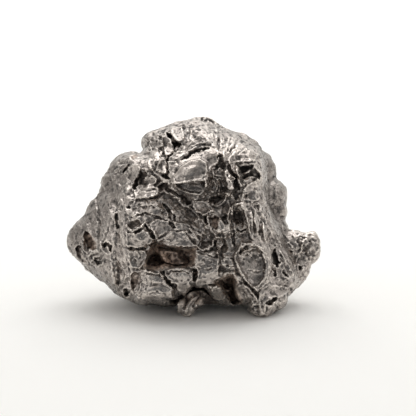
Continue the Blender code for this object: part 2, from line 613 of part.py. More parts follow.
def make_body():
    """A ball drawn out to the outline, with the face's and the back's heights before and behind it."""
    bpy.ops.mesh.primitive_ico_sphere_add(subdivisions=BODY_FINENESS, radius=1.0)
    body = bpy.context.object
    ball = coordinates(body.data) * MM
    middle = np.array(BODY_CENTRE)
    corners = np.array(BODY_OUTLINE, float) - middle
    corner_angles = np.arctan2(corners[:, 1], corners[:, 0])
    reach = np.linalg.norm(corners, axis=1)
    angles = np.arctan2(-ball[:, 2], ball[:, 0])
    share = np.hypot(ball[:, 0], ball[:, 2])
    order = np.argsort(corner_angles)
    radius = np.interp(angles, corner_angles[order], reach[order], period=2 * math.pi) * share
    places = middle + np.stack([np.cos(angles), np.sin(angles)], axis=1) * radius[:, None]
    in_front = ball[:, 1] < 0
    depth = np.where(in_front, -face_height(places), back_height(places))
    points = np.stack(from_sheet(places.T, depth), axis=1)
    behind = np.maximum(points[:, 1], 0.0)
    points[:, 2] += UNDERSIDE_CLIMB * behind * smooth_step((-points[:, 2] - CLIMB_FROM) / CLIMB_RUN)
    move_vertices(body.data, points)
    return body


def make_lump(lump):
    bpy.ops.mesh.primitive_ico_sphere_add(subdivisions=LUMP_FINENESS, radius=1.0)
    ball = bpy.context.object
    middle = np.array(from_sheet(lump["at"], lump["depth"]))
    points = coordinates(ball.data) * MM * np.array(lump["half"]) + middle
    move_vertices(ball.data, points)
    return ball


def join_by_voxels(objects, voxel):
    """One closed skin round overlapping shapes."""
    bpy.ops.object.select_all(action="DESELECT")
    for obj in objects:
        obj.select_set(True)
    bpy.context.view_layer.objects.active = objects[0]
    bpy.ops.object.join()
    joined = bpy.context.object
    remesh = joined.modifiers.new("skin", "REMESH")
    remesh.mode = "VOXEL"
    remesh.voxel_size = voxel * MM
    bpy.ops.object.modifier_apply(modifier=remesh.name)
    return joined


def roughen_sides(stone):
    """Ledges, thumbprints and seams across the skin, away from the finished face."""
    mesh = stone.data
    points = coordinates(mesh)
    seen_behind = RIGHT_SEEN * smooth_step((points[:, 0] - RIGHT_FROM) / RIGHT_RUN)
    hidden = smooth_step((points[:, 1] - HIDDEN_FROM - seen_behind) / HIDDEN_RUN)
    bent = points + swirl(points, SIDE_BEND_SIZE, SIDE_BEND, SEEDS["side_bend"])
    height, gap = ledges(bent * SIDE_STRETCH, LEDGE_SIZE, SEEDS["ledges"])
    relief = LEDGE_DEPTH * height - SEAM_DEPTH * np.exp(-(gap / SEAM_WIDTH) ** 2)
    thumbs = (noise(points, THUMB_SIZE, SEEDS["thumbs"]) - THUMB_EDGE) / THUMB_WALL
    relief -= THUMB_DEPTH * smooth_step(thumbs)
    relief += SIDE_FLAKE_DEPTH * terraces(bent, SIDE_FLAKE_SIZE, FLAKE_STEPS, SEEDS["side_flakes"])
    relief *= hidden
    underneath = smooth_step((-points[:, 2] - UNDERNEATH_FROM) / UNDERNEATH_RUN)
    relief = relief * (1.0 - underneath) - UNDERNEATH_SHARE * np.abs(relief) * underneath
    for name in FEET:
        foot = LUMPS[name]
        middle = np.array(from_sheet(foot["at"], foot["depth"])) - (0.0, 0.0, foot["half"][2])
        away = np.linalg.norm(points - middle, axis=1)
        relief *= smooth_step((away - FOOT_GUARD) / FOOT_GUARD)
    move_vertices(mesh, points + vertex_normals(mesh) * relief[:, None])


def reduce_faces(stone):
    mesh = stone.data
    mesh.calc_loop_triangles()
    reduce = stone.modifiers.new("reduce", "DECIMATE")
    reduce.ratio = MOST_TRIANGLES / len(mesh.loop_triangles)
    bpy.context.view_layer.objects.active = stone
    bpy.ops.object.modifier_apply(modifier=reduce.name)


def stand_on_feet(stone):
    """Turns the stone from the sheet's view to its rest, wears its feet flat and centres it."""
    stone.data.transform(Matrix.Rotation(-VIEW_LIFT, 4, "X"))
    form = bmesh.new()
    form.from_mesh(stone.data)
    parts = form.verts[:] + form.edges[:] + form.faces[:]
    bmesh.ops.bisect_plane(
        form, geom=parts, dist=1e-6, plane_co=(0, 0, GROUND * MM), plane_no=(0, 0, -1), clear_outer=True)
    open_edges = [edge for edge in form.edges if edge.is_boundary]
    bmesh.ops.holes_fill(form, edges=open_edges)
    bmesh.ops.triangulate(form, faces=form.faces[:])
    form.to_mesh(stone.data)
    form.free()
    points = coordinates(stone.data)
    low, high = points.min(axis=0), points.max(axis=0)
    centre = (low + high) / 2.0
    move_vertices(stone.data, points - (centre[0], centre[1], low[2]))
    print("box centre before centring, mm:", np.round((centre[0], centre[1], low[2]), 3))


def iron_material():
    material = bpy.data.materials.new("worn_iron")
    material.use_nodes = True
    shader = material.node_tree.nodes["Principled BSDF"]
    shader.inputs["Base Color"].default_value = IRON_COLOUR
    shader.inputs["Metallic"].default_value = 1.0
    shader.inputs["Roughness"].default_value = IRON_ROUGHNESS
    return material


def main():
    clear_scene()
    body = make_body()
    lumps = [make_lump(lump) for lump in LUMPS.values()]
    stone = join_by_voxels([body] + lumps, FORM_VOXEL)
    roughen_sides(stone)
    stone = join_by_voxels([stone], FORM_VOXEL)
    reduce_faces(stone)
    stand_on_feet(stone)
    stone.name = "meteorite"
    stone.data.name = "meteorite"
    stone.data.materials.clear()
    stone.data.materials.append(iron_material())
    group = bpy.data.collections.new("meteorite")
    bpy.context.scene.collection.children.link(group)
    for holder in list(stone.users_collection):
        holder.objects.unlink(stone)
    group.objects.link(stone)


main()
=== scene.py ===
# Looks of the iron meteorite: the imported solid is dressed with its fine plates, ledges, pits and
# bare metal, and photographed on a white table.
import itertools
import math

import bmesh
import bpy
import numpy as np
from mathutils import Matrix, Vector


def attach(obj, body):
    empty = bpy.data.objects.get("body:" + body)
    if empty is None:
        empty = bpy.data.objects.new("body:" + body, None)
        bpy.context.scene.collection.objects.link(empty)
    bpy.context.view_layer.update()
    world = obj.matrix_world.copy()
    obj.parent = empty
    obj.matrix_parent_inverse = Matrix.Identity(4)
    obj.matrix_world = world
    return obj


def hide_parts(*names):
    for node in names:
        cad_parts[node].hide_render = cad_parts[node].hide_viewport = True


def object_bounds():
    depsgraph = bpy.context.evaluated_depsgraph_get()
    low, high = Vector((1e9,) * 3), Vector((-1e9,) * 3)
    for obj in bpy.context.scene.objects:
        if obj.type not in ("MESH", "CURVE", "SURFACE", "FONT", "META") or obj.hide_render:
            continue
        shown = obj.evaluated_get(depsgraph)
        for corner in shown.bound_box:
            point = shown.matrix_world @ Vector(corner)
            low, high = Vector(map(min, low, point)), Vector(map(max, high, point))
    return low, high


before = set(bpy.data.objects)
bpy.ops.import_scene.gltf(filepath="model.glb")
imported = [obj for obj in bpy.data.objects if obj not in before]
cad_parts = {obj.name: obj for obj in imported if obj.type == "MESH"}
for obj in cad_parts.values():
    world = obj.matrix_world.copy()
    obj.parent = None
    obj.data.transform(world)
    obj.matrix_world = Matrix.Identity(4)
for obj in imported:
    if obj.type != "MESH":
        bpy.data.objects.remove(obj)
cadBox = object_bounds()

mm = 0.001

# The face is laid out on the same squared sheet as the solid's source: x to the right, y down,
# seen from the photograph's side. Heights are mm towards the viewer, widths are in squares.
sheet = {
    "square": 40.0 / (321.5 - 67.5),
    "centre": (208.0, 208.0),
    "lift": math.radians(10.0),
    "distance": 220.0,
    "origin": (-2.201, -0.882, -15.2),
}

# Plates that stand off the face or lie sunk in it. "lean" is mm per square across and down,
# "step" the width of the edge, "calm" how smooth the plate is, "rim" a thin crest on its edge.
# "bulk" and "tilt" are a lift and a lean that the solid doesn't have.
plates = {
    "browBlock": dict(
        outline=[(167, 160), (174, 153), (186, 149), (199, 142), (212, 143), (218, 152), (217, 163),
                 (211, 168), (210, 178), (204, 190), (197, 199), (190, 200), (183, 192), (171, 184),
                 (169, 174)],
        lift=1.0, lean=(0.01, 0.012), step=1.4, calm=0.55),
    "browLowerFace": dict(
        outline=[(176, 184.5), (190, 183), (204.5, 181), (204.8, 190), (199, 193.5), (190, 192), (183, 190),
                 (177, 187.5)],
        lift=-0.9, lean=(0.0, 0.05), step=1.0, calm=0.97, rim=0.0,
        bulk=-0.7, tilt=(0.0, 0.075)),
    "browMirror": dict(
        outline=[(181, 166), (190, 160.5), (200, 158.5), (207, 163), (208, 172), (203, 178.5), (190, 180.5),
                 (176, 182.5), (173, 176), (177, 171)],
        lift=0.2, lean=(0.0, 0.0), step=1.3, calm=0.45, rim=0.0,
        bulk=0.5, tilt=(0.0, -0.105)),
    "browCheek": dict(
        outline=[(169, 163), (176, 161), (179, 165), (174, 172), (173, 180), (170, 180)],
        lift=0.4, lean=(-0.08, -0.05), step=1.0, calm=0.6, rim=0.2,
        bulk=0.2, tilt=(-0.10, -0.06)),
    "crownFacet": dict(
        outline=[(188, 143), (199, 136), (208, 138), (212, 143), (200, 144), (188, 149), (180, 152),
                 (180, 147)],
        lift=0.3, lean=(0.0, -0.06), step=1.2, calm=0.6, rim=0.2,
        bulk=0.2, tilt=(0.0, -0.10)),
    "noseFlake": dict(
        outline=[(220, 164), (225, 162), (229, 170), (233, 180), (233, 190), (228, 190), (225, 178),
                 (221, 171)],
        lift=0.5, lean=(0.02, 0.02), step=1.2, calm=0.5, rim=0.35,
        bulk=0.3, tilt=(0.04, 0.08)),
    "paleFacet": dict(
        outline=[(229, 165), (236, 165), (240, 171), (240.5, 179), (235, 175), (231, 170)],
        lift=0.2, lean=(0.0, 0.0), step=1.0, calm=0.85, rim=0.25,
        bulk=0.0, tilt=(0.03, 0.10)),
    "paneFloor": dict(
        outline=[(234, 213), (241, 212), (243, 219), (246, 228), (240, 231), (236, 228), (233.5, 220)],
        lift=0.0, lean=(0.0, 0.0), step=1.0, calm=0.97, rim=0.0,
        bulk=0.0, tilt=(0.05, 0.08)),
    "besidePane": dict(
        outline=[(244, 209), (249, 207), (252, 216), (254, 228), (254, 240), (250, 238), (248, 226)],
        lift=0.4, lean=(0.0, 0.0), step=1.2, calm=0.75, rim=0.2,
        bulk=0.3, tilt=(-0.08, 0.02)),
    "valleyFacetA": dict(
        outline=[(211, 181), (216, 178), (219, 184), (217, 192), (212, 193), (210, 187)],
        lift=-0.3, lean=(0.06, 0.0), step=1.0, calm=0.9, rim=0.15,
        bulk=0.3, tilt=(0.12, 0.05)),
    "valleyFacetB": dict(
        outline=[(219, 181), (224, 183), (225, 190), (221, 196), (217, 194), (219, 188)],
        lift=0.1, lean=(-0.07, 0.02), step=1.0, calm=0.9, rim=0.2,
        bulk=0.4, tilt=(-0.12, 0.05)),
    "cheekFacet": dict(
        outline=[(212, 169), (217, 165), (219, 169), (215, 174), (213, 180), (210, 176)],
        lift=0.2, lean=(-0.06, 0.03), step=1.0, calm=0.8, rim=0.2,
        bulk=0.4, tilt=(-0.10, 0.08)),
    "leftFacetA": dict(
        outline=[(143, 178), (152, 175), (158, 179), (156, 184), (146, 185), (140, 184)],
        lift=0.1, lean=(0.04, 0.02), step=1.2, calm=0.6, rim=0.05,
        bulk=0.1, tilt=(0.10, -0.06)),
    "leftFacetB": dict(
        outline=[(150, 158), (156, 160), (155, 170), (151, 172), (148, 166)],
        lift=0.4, lean=(-0.06, 0.01), step=1.2, calm=0.7,
        bulk=0.3, tilt=(-0.12, -0.05)),
    "leftFacetC": dict(
        outline=[(136, 141), (143, 138), (149, 141), (148, 147), (141, 150), (136, 147)],
        lift=0.4, lean=(-0.04, 0.05), step=1.4, calm=0.7,
        bulk=0.2, tilt=(-0.08, -0.10)),
    "leftFacetD": dict(
        outline=[(150, 144), (157, 139), (163, 141), (164, 147), (156, 149), (152, 150)],
        lift=0.4, lean=(0.05, 0.03), step=1.2, calm=0.6,
        bulk=0.2, tilt=(0.10, -0.10)),
    "rightFacetA": dict(
        outline=[(235, 166), (238, 164), (241, 172), (240, 180), (243, 186), (240, 188), (237, 180)],
        lift=0.3, lean=(-0.05, 0.0), step=1.0, calm=0.8, rim=0.25,
        bulk=0.3, tilt=(-0.12, 0.04)),
    "rightFacetB": dict(
        outline=[(247, 192), (254, 189), (259, 192), (259, 199), (252, 203), (246, 199)],
        lift=0.4, lean=(0.05, 0.03), step=1.2, calm=0.7, rim=0.2,
        bulk=0.3, tilt=(0.10, -0.05)),
    "rightFacetC": dict(
        outline=[(254, 204), (258, 208), (260, 218), (259, 230), (256, 232), (254, 218)],
        lift=0.35, lean=(-0.04, 0.02), step=1.2, calm=0.7, rim=0.2,
        bulk=0.3, tilt=(-0.10, 0.05)),
    "rightFacetD": dict(
        outline=[(262, 222), (267, 226), (270, 238), (268, 246), (264, 240), (262, 231)],
        lift=0.35, lean=(-0.05, 0.0), step=1.2, calm=0.7, rim=0.2,
        bulk=0.3, tilt=(-0.10, 0.0)),
    "columnFacet": dict(
        outline=[(222, 204), (229, 201), (231, 208), (229, 216), (223, 213)],
        lift=0.3, lean=(0.05, 0.02), step=1.0, calm=0.8, rim=0.2,
        bulk=0.2, tilt=(0.08, 0.08)),
    "fanPlate": dict(
        outline=[(156, 167), (160, 160), (166, 158), (167.5, 166), (167, 173), (161, 172.5),
                 (156, 171)],
        lift=0.6, lean=(0.02, 0.04), step=1.3, calm=0.6, rim=0.3,
        bulk=0.2, tilt=(-0.06, -0.05)),
    "leaf": dict(
        outline=[(165, 150), (168, 143), (171, 141.5), (174, 145), (174, 151), (170, 155), (167, 159),
                 (165, 155)],
        lift=0.7, lean=(0.0, 0.01), step=1.2, calm=0.8, rim=0.25),
    "shoulderBoss": dict(
        outline=[(128, 170), (132, 164), (138, 164), (141, 169), (138, 176), (137, 182), (131, 183),
                 (128, 178)],
        lift=0.5, lean=(0.02, 0.0), step=2.4, calm=0.8,
        bulk=0.2, tilt=(0.05, -0.08)),
    "shoulderPlate": dict(
        outline=[(141, 160), (150, 158), (152, 168), (147, 171), (141, 170), (138, 165)],
        lift=0.4, lean=(0.0, 0.02), step=2.0, calm=0.5),
    "crownPlate": dict(
        outline=[(190, 128), (201, 128), (206, 131), (206, 141), (197, 142), (190, 141)],
        lift=0.4, lean=(0.0, 0.01), step=1.6, calm=0.4,
        bulk=0.1, tilt=(-0.05, -0.08)),
    "crownLeft": dict(
        outline=[(176, 127), (182, 127), (184, 134), (183, 142), (178, 141), (174, 134)],
        lift=0.4, lean=(0.0, 0.02), step=1.4, calm=0.6, rim=0.15,
        bulk=0.1, tilt=(0.08, -0.06)),
    "rightBrow": dict(
        outline=[(228, 160), (234, 152), (243, 149), (252, 149), (257, 155), (255, 161), (241, 162.5),
                 (230, 164)],
        lift=0.8, lean=(0.01, 0.02), step=1.4, calm=0.3,
        bulk=0.3, tilt=(0.02, -0.09)),
    "innerFlake": dict(
        outline=[(215, 176), (218, 171), (222, 170), (227, 173), (225, 178), (219, 177)],
        lift=0.6, lean=(0.02, 0.0), step=1.2, calm=0.7, rim=0.2),
    "rightFlake": dict(
        outline=[(242, 198), (241, 192), (246, 186), (250, 182), (256, 181), (258, 186), (252, 189),
                 (247, 194)],
        lift=0.6, lean=(0.0, 0.03), step=1.4, calm=0.4),
    "tongue": dict(
        outline=[(191, 202), (196, 200), (206, 201), (211, 206), (215, 209), (210, 213), (203, 216),
                 (196, 211)],
        lift=0.7, lean=(0.01, 0.03), step=1.4, calm=0.6, rim=0.2,
        bulk=0.2, tilt=(0.02, 0.05)),
    "upperMiddle": dict(
        outline=[(134, 190), (141, 184), (153, 184), (158, 189), (158, 195), (150, 198), (141, 198.5),
                 (135, 198)],
        lift=0.6, lean=(0.0, 0.03), step=1.6, calm=0.3),
    "middle": dict(
        outline=[(149, 224), (157, 219), (166, 221), (178, 222), (190, 224), (193, 232), (200, 241),
                 (196, 246.5), (184, 247.5), (171, 247.5), (163, 245), (157, 241)],
        lift=0.7, lean=(-0.004, 0.02), step=1.4, calm=0.45),
    "leftMiddle": dict(
        outline=[(126, 232), (133, 233.5), (143, 229), (151, 236), (156, 241), (150, 245), (142, 248),
                 (133, 250), (126, 245)],
        lift=0.7, lean=(0.01, 0.01), step=1.3, calm=0.6),
    "besideCavity": dict(
        outline=[(128, 251), (138, 250), (146, 250), (147, 257), (143, 265), (139, 270), (132, 268),
                 (128, 260)],
        lift=0.5, lean=(0.01, 0.01), step=1.4, calm=0.3),
    "hanging": dict(
        outline=[(197, 250), (204, 252), (213, 251), (218, 250), (219, 258), (218, 266), (219, 272),
                 (230, 271), (228, 274), (220, 278), (213, 282), (206, 284), (200, 287), (196, 284),
                 (194, 276), (196, 268), (194, 262)],
        lift=0.9, lean=(0.004, 0.006), step=1.4, calm=0.55),
    "lowerLeft": dict(
        outline=[(142, 272), (146, 270.5), (152, 272), (160, 273), (164, 276), (166, 281), (170, 286),
                 (175, 288), (174, 296), (167, 298), (165, 302), (160, 305), (154, 303), (150, 300),
                 (147, 301), (144, 305), (139, 304), (133, 300), (134, 296), (139, 290), (142, 281)],
        lift=1.0, lean=(0.006, 0.004), step=1.1, calm=0.85, rim=0.25),
    "lowerLeftBulk": dict(
        outline=[(136, 287), (148, 285), (162, 285), (172, 289), (174, 296), (168, 303), (150, 306),
                 (136, 305)],
        lift=0.0, lean=(0.0, 0.0), step=5.0, calm=0.0, rim=0.0,
        bulk=1.5, tilt=(0.0, 0.15)),
    "valley": dict(
        outline=[(208, 168), (221, 163), (232, 172), (233, 195), (222, 200), (209, 197)],
        lift=0.0, lean=(0.0, 0.0), step=2.0, calm=0.75, rim=0.0),
    "shield": dict(
        outline=[(166, 275), (166, 271), (168, 268.5), (172, 268), (176, 270), (184, 269), (189, 270),
                 (194, 272), (192, 279), (189, 285), (187, 291), (181, 292), (177, 290), (176, 285),
                 (172, 283), (168, 279)],
        lift=1.1, lean=(0.0, -0.01), step=1.2, calm=0.9, rim=0.2),
    "fang": dict(
        outline=[(211, 288), (214, 286), (220, 287), (224, 290), (226, 296), (230, 303), (225, 304),
                 (219, 301), (214, 297), (211, 292)],
        lift=0.4, lean=(0.0, 0.0), step=1.4, calm=0.8, rim=0.3),
    "dish": dict(
        outline=[(238, 256), (240, 250), (245, 247), (252, 247.5), (258, 250), (262, 256), (265, 265),
                 (265, 274), (263, 280), (258, 284), (252, 284), (247, 279), (243, 272), (239, 264)],
        lift=-0.6, lean=(0.014, 0.020), step=2.2, calm=0.9),
    "dishBand": dict(
        outline=[(256, 244.5), (262, 247), (267, 253), (270, 262), (270, 274), (268, 283), (261, 289),
                 (256, 291), (252, 287), (259, 284), (264, 277), (265, 263), (261, 252)],
        lift=0.6, lean=(0.0, 0.0), step=1.6, calm=0.85),
    "lowerRight": dict(
        outline=[(237, 288), (239, 284.5), (244, 284), (249, 287), (254, 292), (257, 298), (258, 304),
                 (252, 308), (247, 303), (242, 297), (238, 293)],
        lift=0.6, lean=(0.0, 0.0), step=1.3, calm=0.4, rim=0.3),
    "footPlate": dict(
        outline=[(259, 293), (262, 288), (268, 285), (276, 286), (283, 287), (289, 287), (286, 294),
                 (278, 299), (270, 300), (265, 304), (266, 314), (260, 316), (257, 304)],
        lift=0.6, lean=(0.0, 0.0), step=1.6, calm=0.7),
    "cavityLump": dict(
        outline=[(160, 251), (166, 248), (174, 250), (180, 250), (184, 256), (190, 264), (184, 266),
                 (173, 266), (165, 262), (160, 257)],
        lift=2.0, lean=(0.0, 0.03), step=2.4, calm=0.0),
    "cavityShelf": dict(
        outline=[(146, 268), (151, 262.5), (158, 262.5), (166, 265), (166, 268.5), (150, 269.5)],
        lift=1.9, lean=(0.0, 0.03), step=1.6, calm=0.7),
    "lowerCavityLump": dict(
        outline=[(221, 279), (228, 275), (233, 277), (235, 283), (229, 285), (224, 283)],
        lift=1.5, lean=(0.0, 0.02), step=2.0, calm=0.0),
}

# Hollows: mouth on the sheet, depth, width of the wall, and how rusty the inside is.
hollows = {
    "mainCavity": dict(
        mouth=[(141, 268), (144, 262), (147, 257), (146.5, 251), (151, 246), (157, 242), (165, 247),
               (172, 248.5), (184, 248.5), (197, 247.5), (196, 254), (196, 261), (193, 267.5),
               (184, 268), (177, 268.5), (170, 267), (166, 269), (158, 271), (150, 270)],
        depth=3.6, wall=1.8, rust=1.0),
    "cavityBlack": dict(
        mouth=[(147, 263), (150, 255), (157, 252), (161, 258), (167, 263), (178, 266), (190, 266),
               (192, 268), (170, 268), (160, 263), (152, 262)],
        depth=1.6, wall=1.8, rust=0.6),
    "cavityChamber": dict(
        mouth=[(184, 250), (195, 249.5), (195, 258), (191, 264), (187, 258), (183.5, 254)],
        depth=1.0, wall=1.6, rust=1.0),
    "lowerCavity": dict(
        mouth=[(204, 284), (211, 283), (217, 280), (222, 276), (227, 273), (233, 273), (237, 277),
               (239, 282), (237, 287), (240, 294), (243, 300), (243, 304.5), (236, 305), (231, 303),
               (227, 297), (224, 290), (219, 287), (212, 286)],
        depth=4.0, wall=2.0, rust=0.8),
    "bellyCavity": dict(
        mouth=[(187, 285), (192, 283), (197, 286), (202, 285), (206, 286), (210, 290), (214, 297),
               (219, 302), (222, 304), (212, 305), (199, 305), (184, 305), (170, 304), (168, 299),
               (175, 297), (178, 293), (184, 294)],
        depth=3.8, wall=2.0, rust=0.4),
    "browHollow": dict(
        mouth=[(179, 194), (183, 193), (187, 195), (190, 199), (191, 204), (187, 206), (183, 203),
               (180, 200)],
        depth=2.6, wall=1.5, rust=0.5),
    "besideBrow": dict(
        mouth=[(157, 186), (162, 183), (168, 182), (170, 187), (176, 191), (181, 195), (178, 197),
               (171, 193), (166, 192), (160, 193)],
        depth=1.9, wall=1.4, rust=0.4),
    "fanShadow": dict(
        mouth=[(160, 176), (163, 174.5), (168, 174.5), (168.5, 179), (163, 178)],
        depth=1.5, wall=1.0),
    "browSlit": dict(
        mouth=[(178, 161.5), (184, 156.5), (190, 152), (197, 148.5), (204, 147), (210, 147.5), (208, 150.5),
               (202, 151.5), (196, 153.5), (190, 157), (184, 160.5)],
        depth=1.0, wall=1.6),
    "shoulderPit": dict(
        mouth=[(137, 177), (141, 172), (147, 172), (147, 177), (143, 181), (138, 183), (136.5, 190),
               (133, 190), (133, 185)],
        depth=2.0, wall=1.2, rust=0.3),
    "crownSlit": dict(
        mouth=[(166, 133), (170, 133.5), (173, 137), (176, 141), (181, 143), (182, 146), (178, 149),
               (174.5, 148), (173, 144), (171, 140), (168, 138)],
        depth=2.4, wall=1.0, rust=0.4),
    "shoulderSlit": dict(
        mouth=[(121, 173), (125, 167), (129, 163.5), (130.5, 165), (127, 170), (123, 174)],
        depth=1.0, wall=1.0),
    "shoulderNotch": dict(
        mouth=[(130, 157), (135, 153.5), (140, 155), (137, 158), (132, 160)],
        depth=1.0, wall=1.2, rust=0.6),
    "socketUpper": dict(
        mouth=[(237, 165), (243, 164), (254, 164.5), (253, 168), (247, 170.5), (243, 174), (239, 171)],
        depth=1.6, wall=1.2),
    "socketLower": dict(
        mouth=[(250, 171), (255, 168), (258, 172), (262, 176), (259, 179), (254, 177), (249, 177.5),
               (243, 180), (241.5, 177), (246, 174)],
        depth=1.6, wall=1.2),
    "rightValley": dict(
        mouth=[(231, 172), (236, 178), (240, 184), (241, 190), (239, 199), (234, 201), (232, 194),
               (234, 187), (232, 180)],
        depth=1.1, wall=1.7),
    "leftValley": dict(
        mouth=[(211, 179), (216, 178), (222, 181), (225, 188), (221, 195), (214, 194), (211, 187)],
        depth=1.1, wall=2.2),
    "loop": dict(
        mouth=[(207, 200), (212, 196), (220, 196), (224.5, 198), (222, 203), (217, 205), (211, 203)],
        depth=1.3, wall=1.2),
    "paneTop": dict(
        mouth=[(233, 209), (234.5, 205.5), (240, 204.5), (241.5, 209.5), (234, 210.5)],
        depth=1.5, wall=1.0),
    "pane": dict(
        mouth=[(233, 212), (241.5, 210.5), (244, 218), (247, 226), (246, 231), (240, 233), (236, 230),
               (233, 221)],
        depth=1.0, wall=1.1),
    "overLedge": dict(
        mouth=[(129, 222), (135, 219.5), (141, 220.5), (142, 223.5), (134, 228), (130, 226.5)],
        depth=0.45, wall=1.6, rust=0.35),
    "underLedge": dict(
        mouth=[(132, 232.5), (138, 229.5), (142, 227), (141, 232), (136, 234.5)],
        depth=1.0, wall=0.8),
    "ladderLeft": dict(
        mouth=[(203, 217), (207, 215), (207, 221), (208, 226), (204, 222)],
        depth=1.0, wall=0.9),
    "ladderRight": dict(
        mouth=[(210, 218), (215, 215), (219, 218), (219, 226), (216, 231), (212, 227)],
        depth=1.3, wall=1.0, rust=0.8),
    "ladderFar": dict(
        mouth=[(221, 217), (226, 215), (229, 221), (227, 225), (222, 222)],
        depth=1.0, wall=1.0),
    "stepHollow": dict(
        mouth=[(162, 203), (166, 204), (171, 210), (176, 215), (177, 221), (171, 222), (167, 215)],
        depth=1.1, wall=1.2),
    "middlePatch": dict(
        mouth=[(168, 220), (172, 222), (177, 228), (172, 229), (169, 225)],
        depth=0.8, wall=0.9),
    "scoop": dict(
        mouth=[(200, 243), (204, 241), (211, 241), (212, 245), (207, 248), (202, 247)],
        depth=0.5, wall=1.0, rust=0.4),
    "hookInside": dict(
        mouth=[(214, 241), (217, 240), (217.5, 246), (213.5, 248)],
        depth=0.7, wall=0.8),
    "columnGap": dict(
        mouth=[(231, 216), (233, 218), (235, 232), (236, 246), (234, 249), (231, 240), (230, 228)],
        depth=0.9, wall=0.9),
    "sideGap": dict(
        mouth=[(220, 246), (225, 244), (229, 248), (226, 254), (221, 252)],
        depth=0.8, wall=1.0, rust=0.5),
    "cheekGap": dict(
        mouth=[(193, 268), (197, 269), (198, 276), (195, 284), (193, 279), (191, 273)],
        depth=1.3, wall=1.1),
    "gapBetweenPlates": dict(
        mouth=[(163, 275), (166, 279), (170, 284), (175, 286), (170, 287), (165, 282)],
        depth=1.4, wall=0.9),
    "dishSlit": dict(
        mouth=[(238.5, 253), (240, 248), (244, 245.5), (251, 245), (258, 248), (251, 249), (244, 250.5),
               (240.5, 255)],
        depth=1.7, wall=1.3),
    "rightSlot": dict(
        mouth=[(272, 249), (275, 247.5), (277.5, 254), (278, 260), (280, 263), (277, 267), (273, 265),
               (272, 258)],
        depth=2.2, wall=1.2, rust=0.4),
    "rightSlotLower": dict(
        mouth=[(272.5, 269), (276, 270), (277, 276), (274, 278)], depth=0.9, wall=0.9),
    "ribSlot": dict(
        mouth=[(282, 271), (285, 268), (286.5, 273), (289, 278), (285, 277)], depth=0.9, wall=0.8),
    "longSlot": dict(
        mouth=[(258.5, 222), (260.5, 222), (261.5, 235), (259, 236)], depth=1.2, wall=0.8),
    "rightSlits": dict(
        mouth=[(263, 204), (267, 206), (269, 211), (267, 214), (264, 209)], depth=0.8, wall=0.8),
    "neckCave": dict(
        mouth=[(285, 247), (289, 248), (293, 251), (293, 256), (290, 257.5), (287, 252)],
        depth=1.5, wall=1.2, rust=0.3),
    "footPit": dict(
        mouth=[(265, 304), (269, 300), (274, 297), (277, 298), (275, 302), (270, 306)],
        depth=1.4, wall=1.0),
    "footNick": dict(
        mouth=[(281.5, 288), (285, 285), (287, 287), (283, 290.5)], depth=0.8, wall=0.8),
    "lowerRightInside": dict(
        mouth=[(241, 288), (247, 288), (254, 296), (255, 302), (249, 302), (244, 295)],
        depth=0.6, wall=1.0),
    "tipPit": dict(
        mouth=[(83, 235), (85.5, 231), (89, 232), (93, 237), (97, 243), (97, 249), (93, 251.5),
               (88, 248), (84, 242)],
        depth=2.3, wall=1.6, rust=0.9),
    "tipSlot": dict(
        mouth=[(75.5, 248), (79, 244), (81, 247), (82, 253), (84, 258), (87.5, 264), (83, 263.5),
               (78, 257)],
        depth=1.3, wall=1.0, rust=0.2),
    "tipSocket": dict(
        mouth=[(102, 244), (105, 241.5), (110, 242), (113, 247), (112, 252), (109, 250.5), (108, 246),
               (104, 248.5)],
        depth=1.4, wall=1.0, rust=0.3),
    "tipRing": dict(
        mouth=[(95, 258), (100, 258), (101.5, 262), (97, 264.5), (94, 261)], depth=0.8, wall=1.0),
    "lowerLeftPit": dict(
        mouth=[(124, 289), (128, 287.5), (131, 290), (130, 296), (126, 298), (124, 294)],
        depth=2.2, wall=1.0),
    "leftSeam": dict(
        mouth=[(130, 276), (134, 271), (140, 272), (141, 280), (136, 288), (132, 292), (131, 283)],
        depth=1.2, wall=1.2, rust=0.5),
    "leftGroove": dict(
        mouth=[(114.5, 213), (118, 214), (119.5, 227), (117, 231), (115, 224)], depth=0.9, wall=0.9),
}

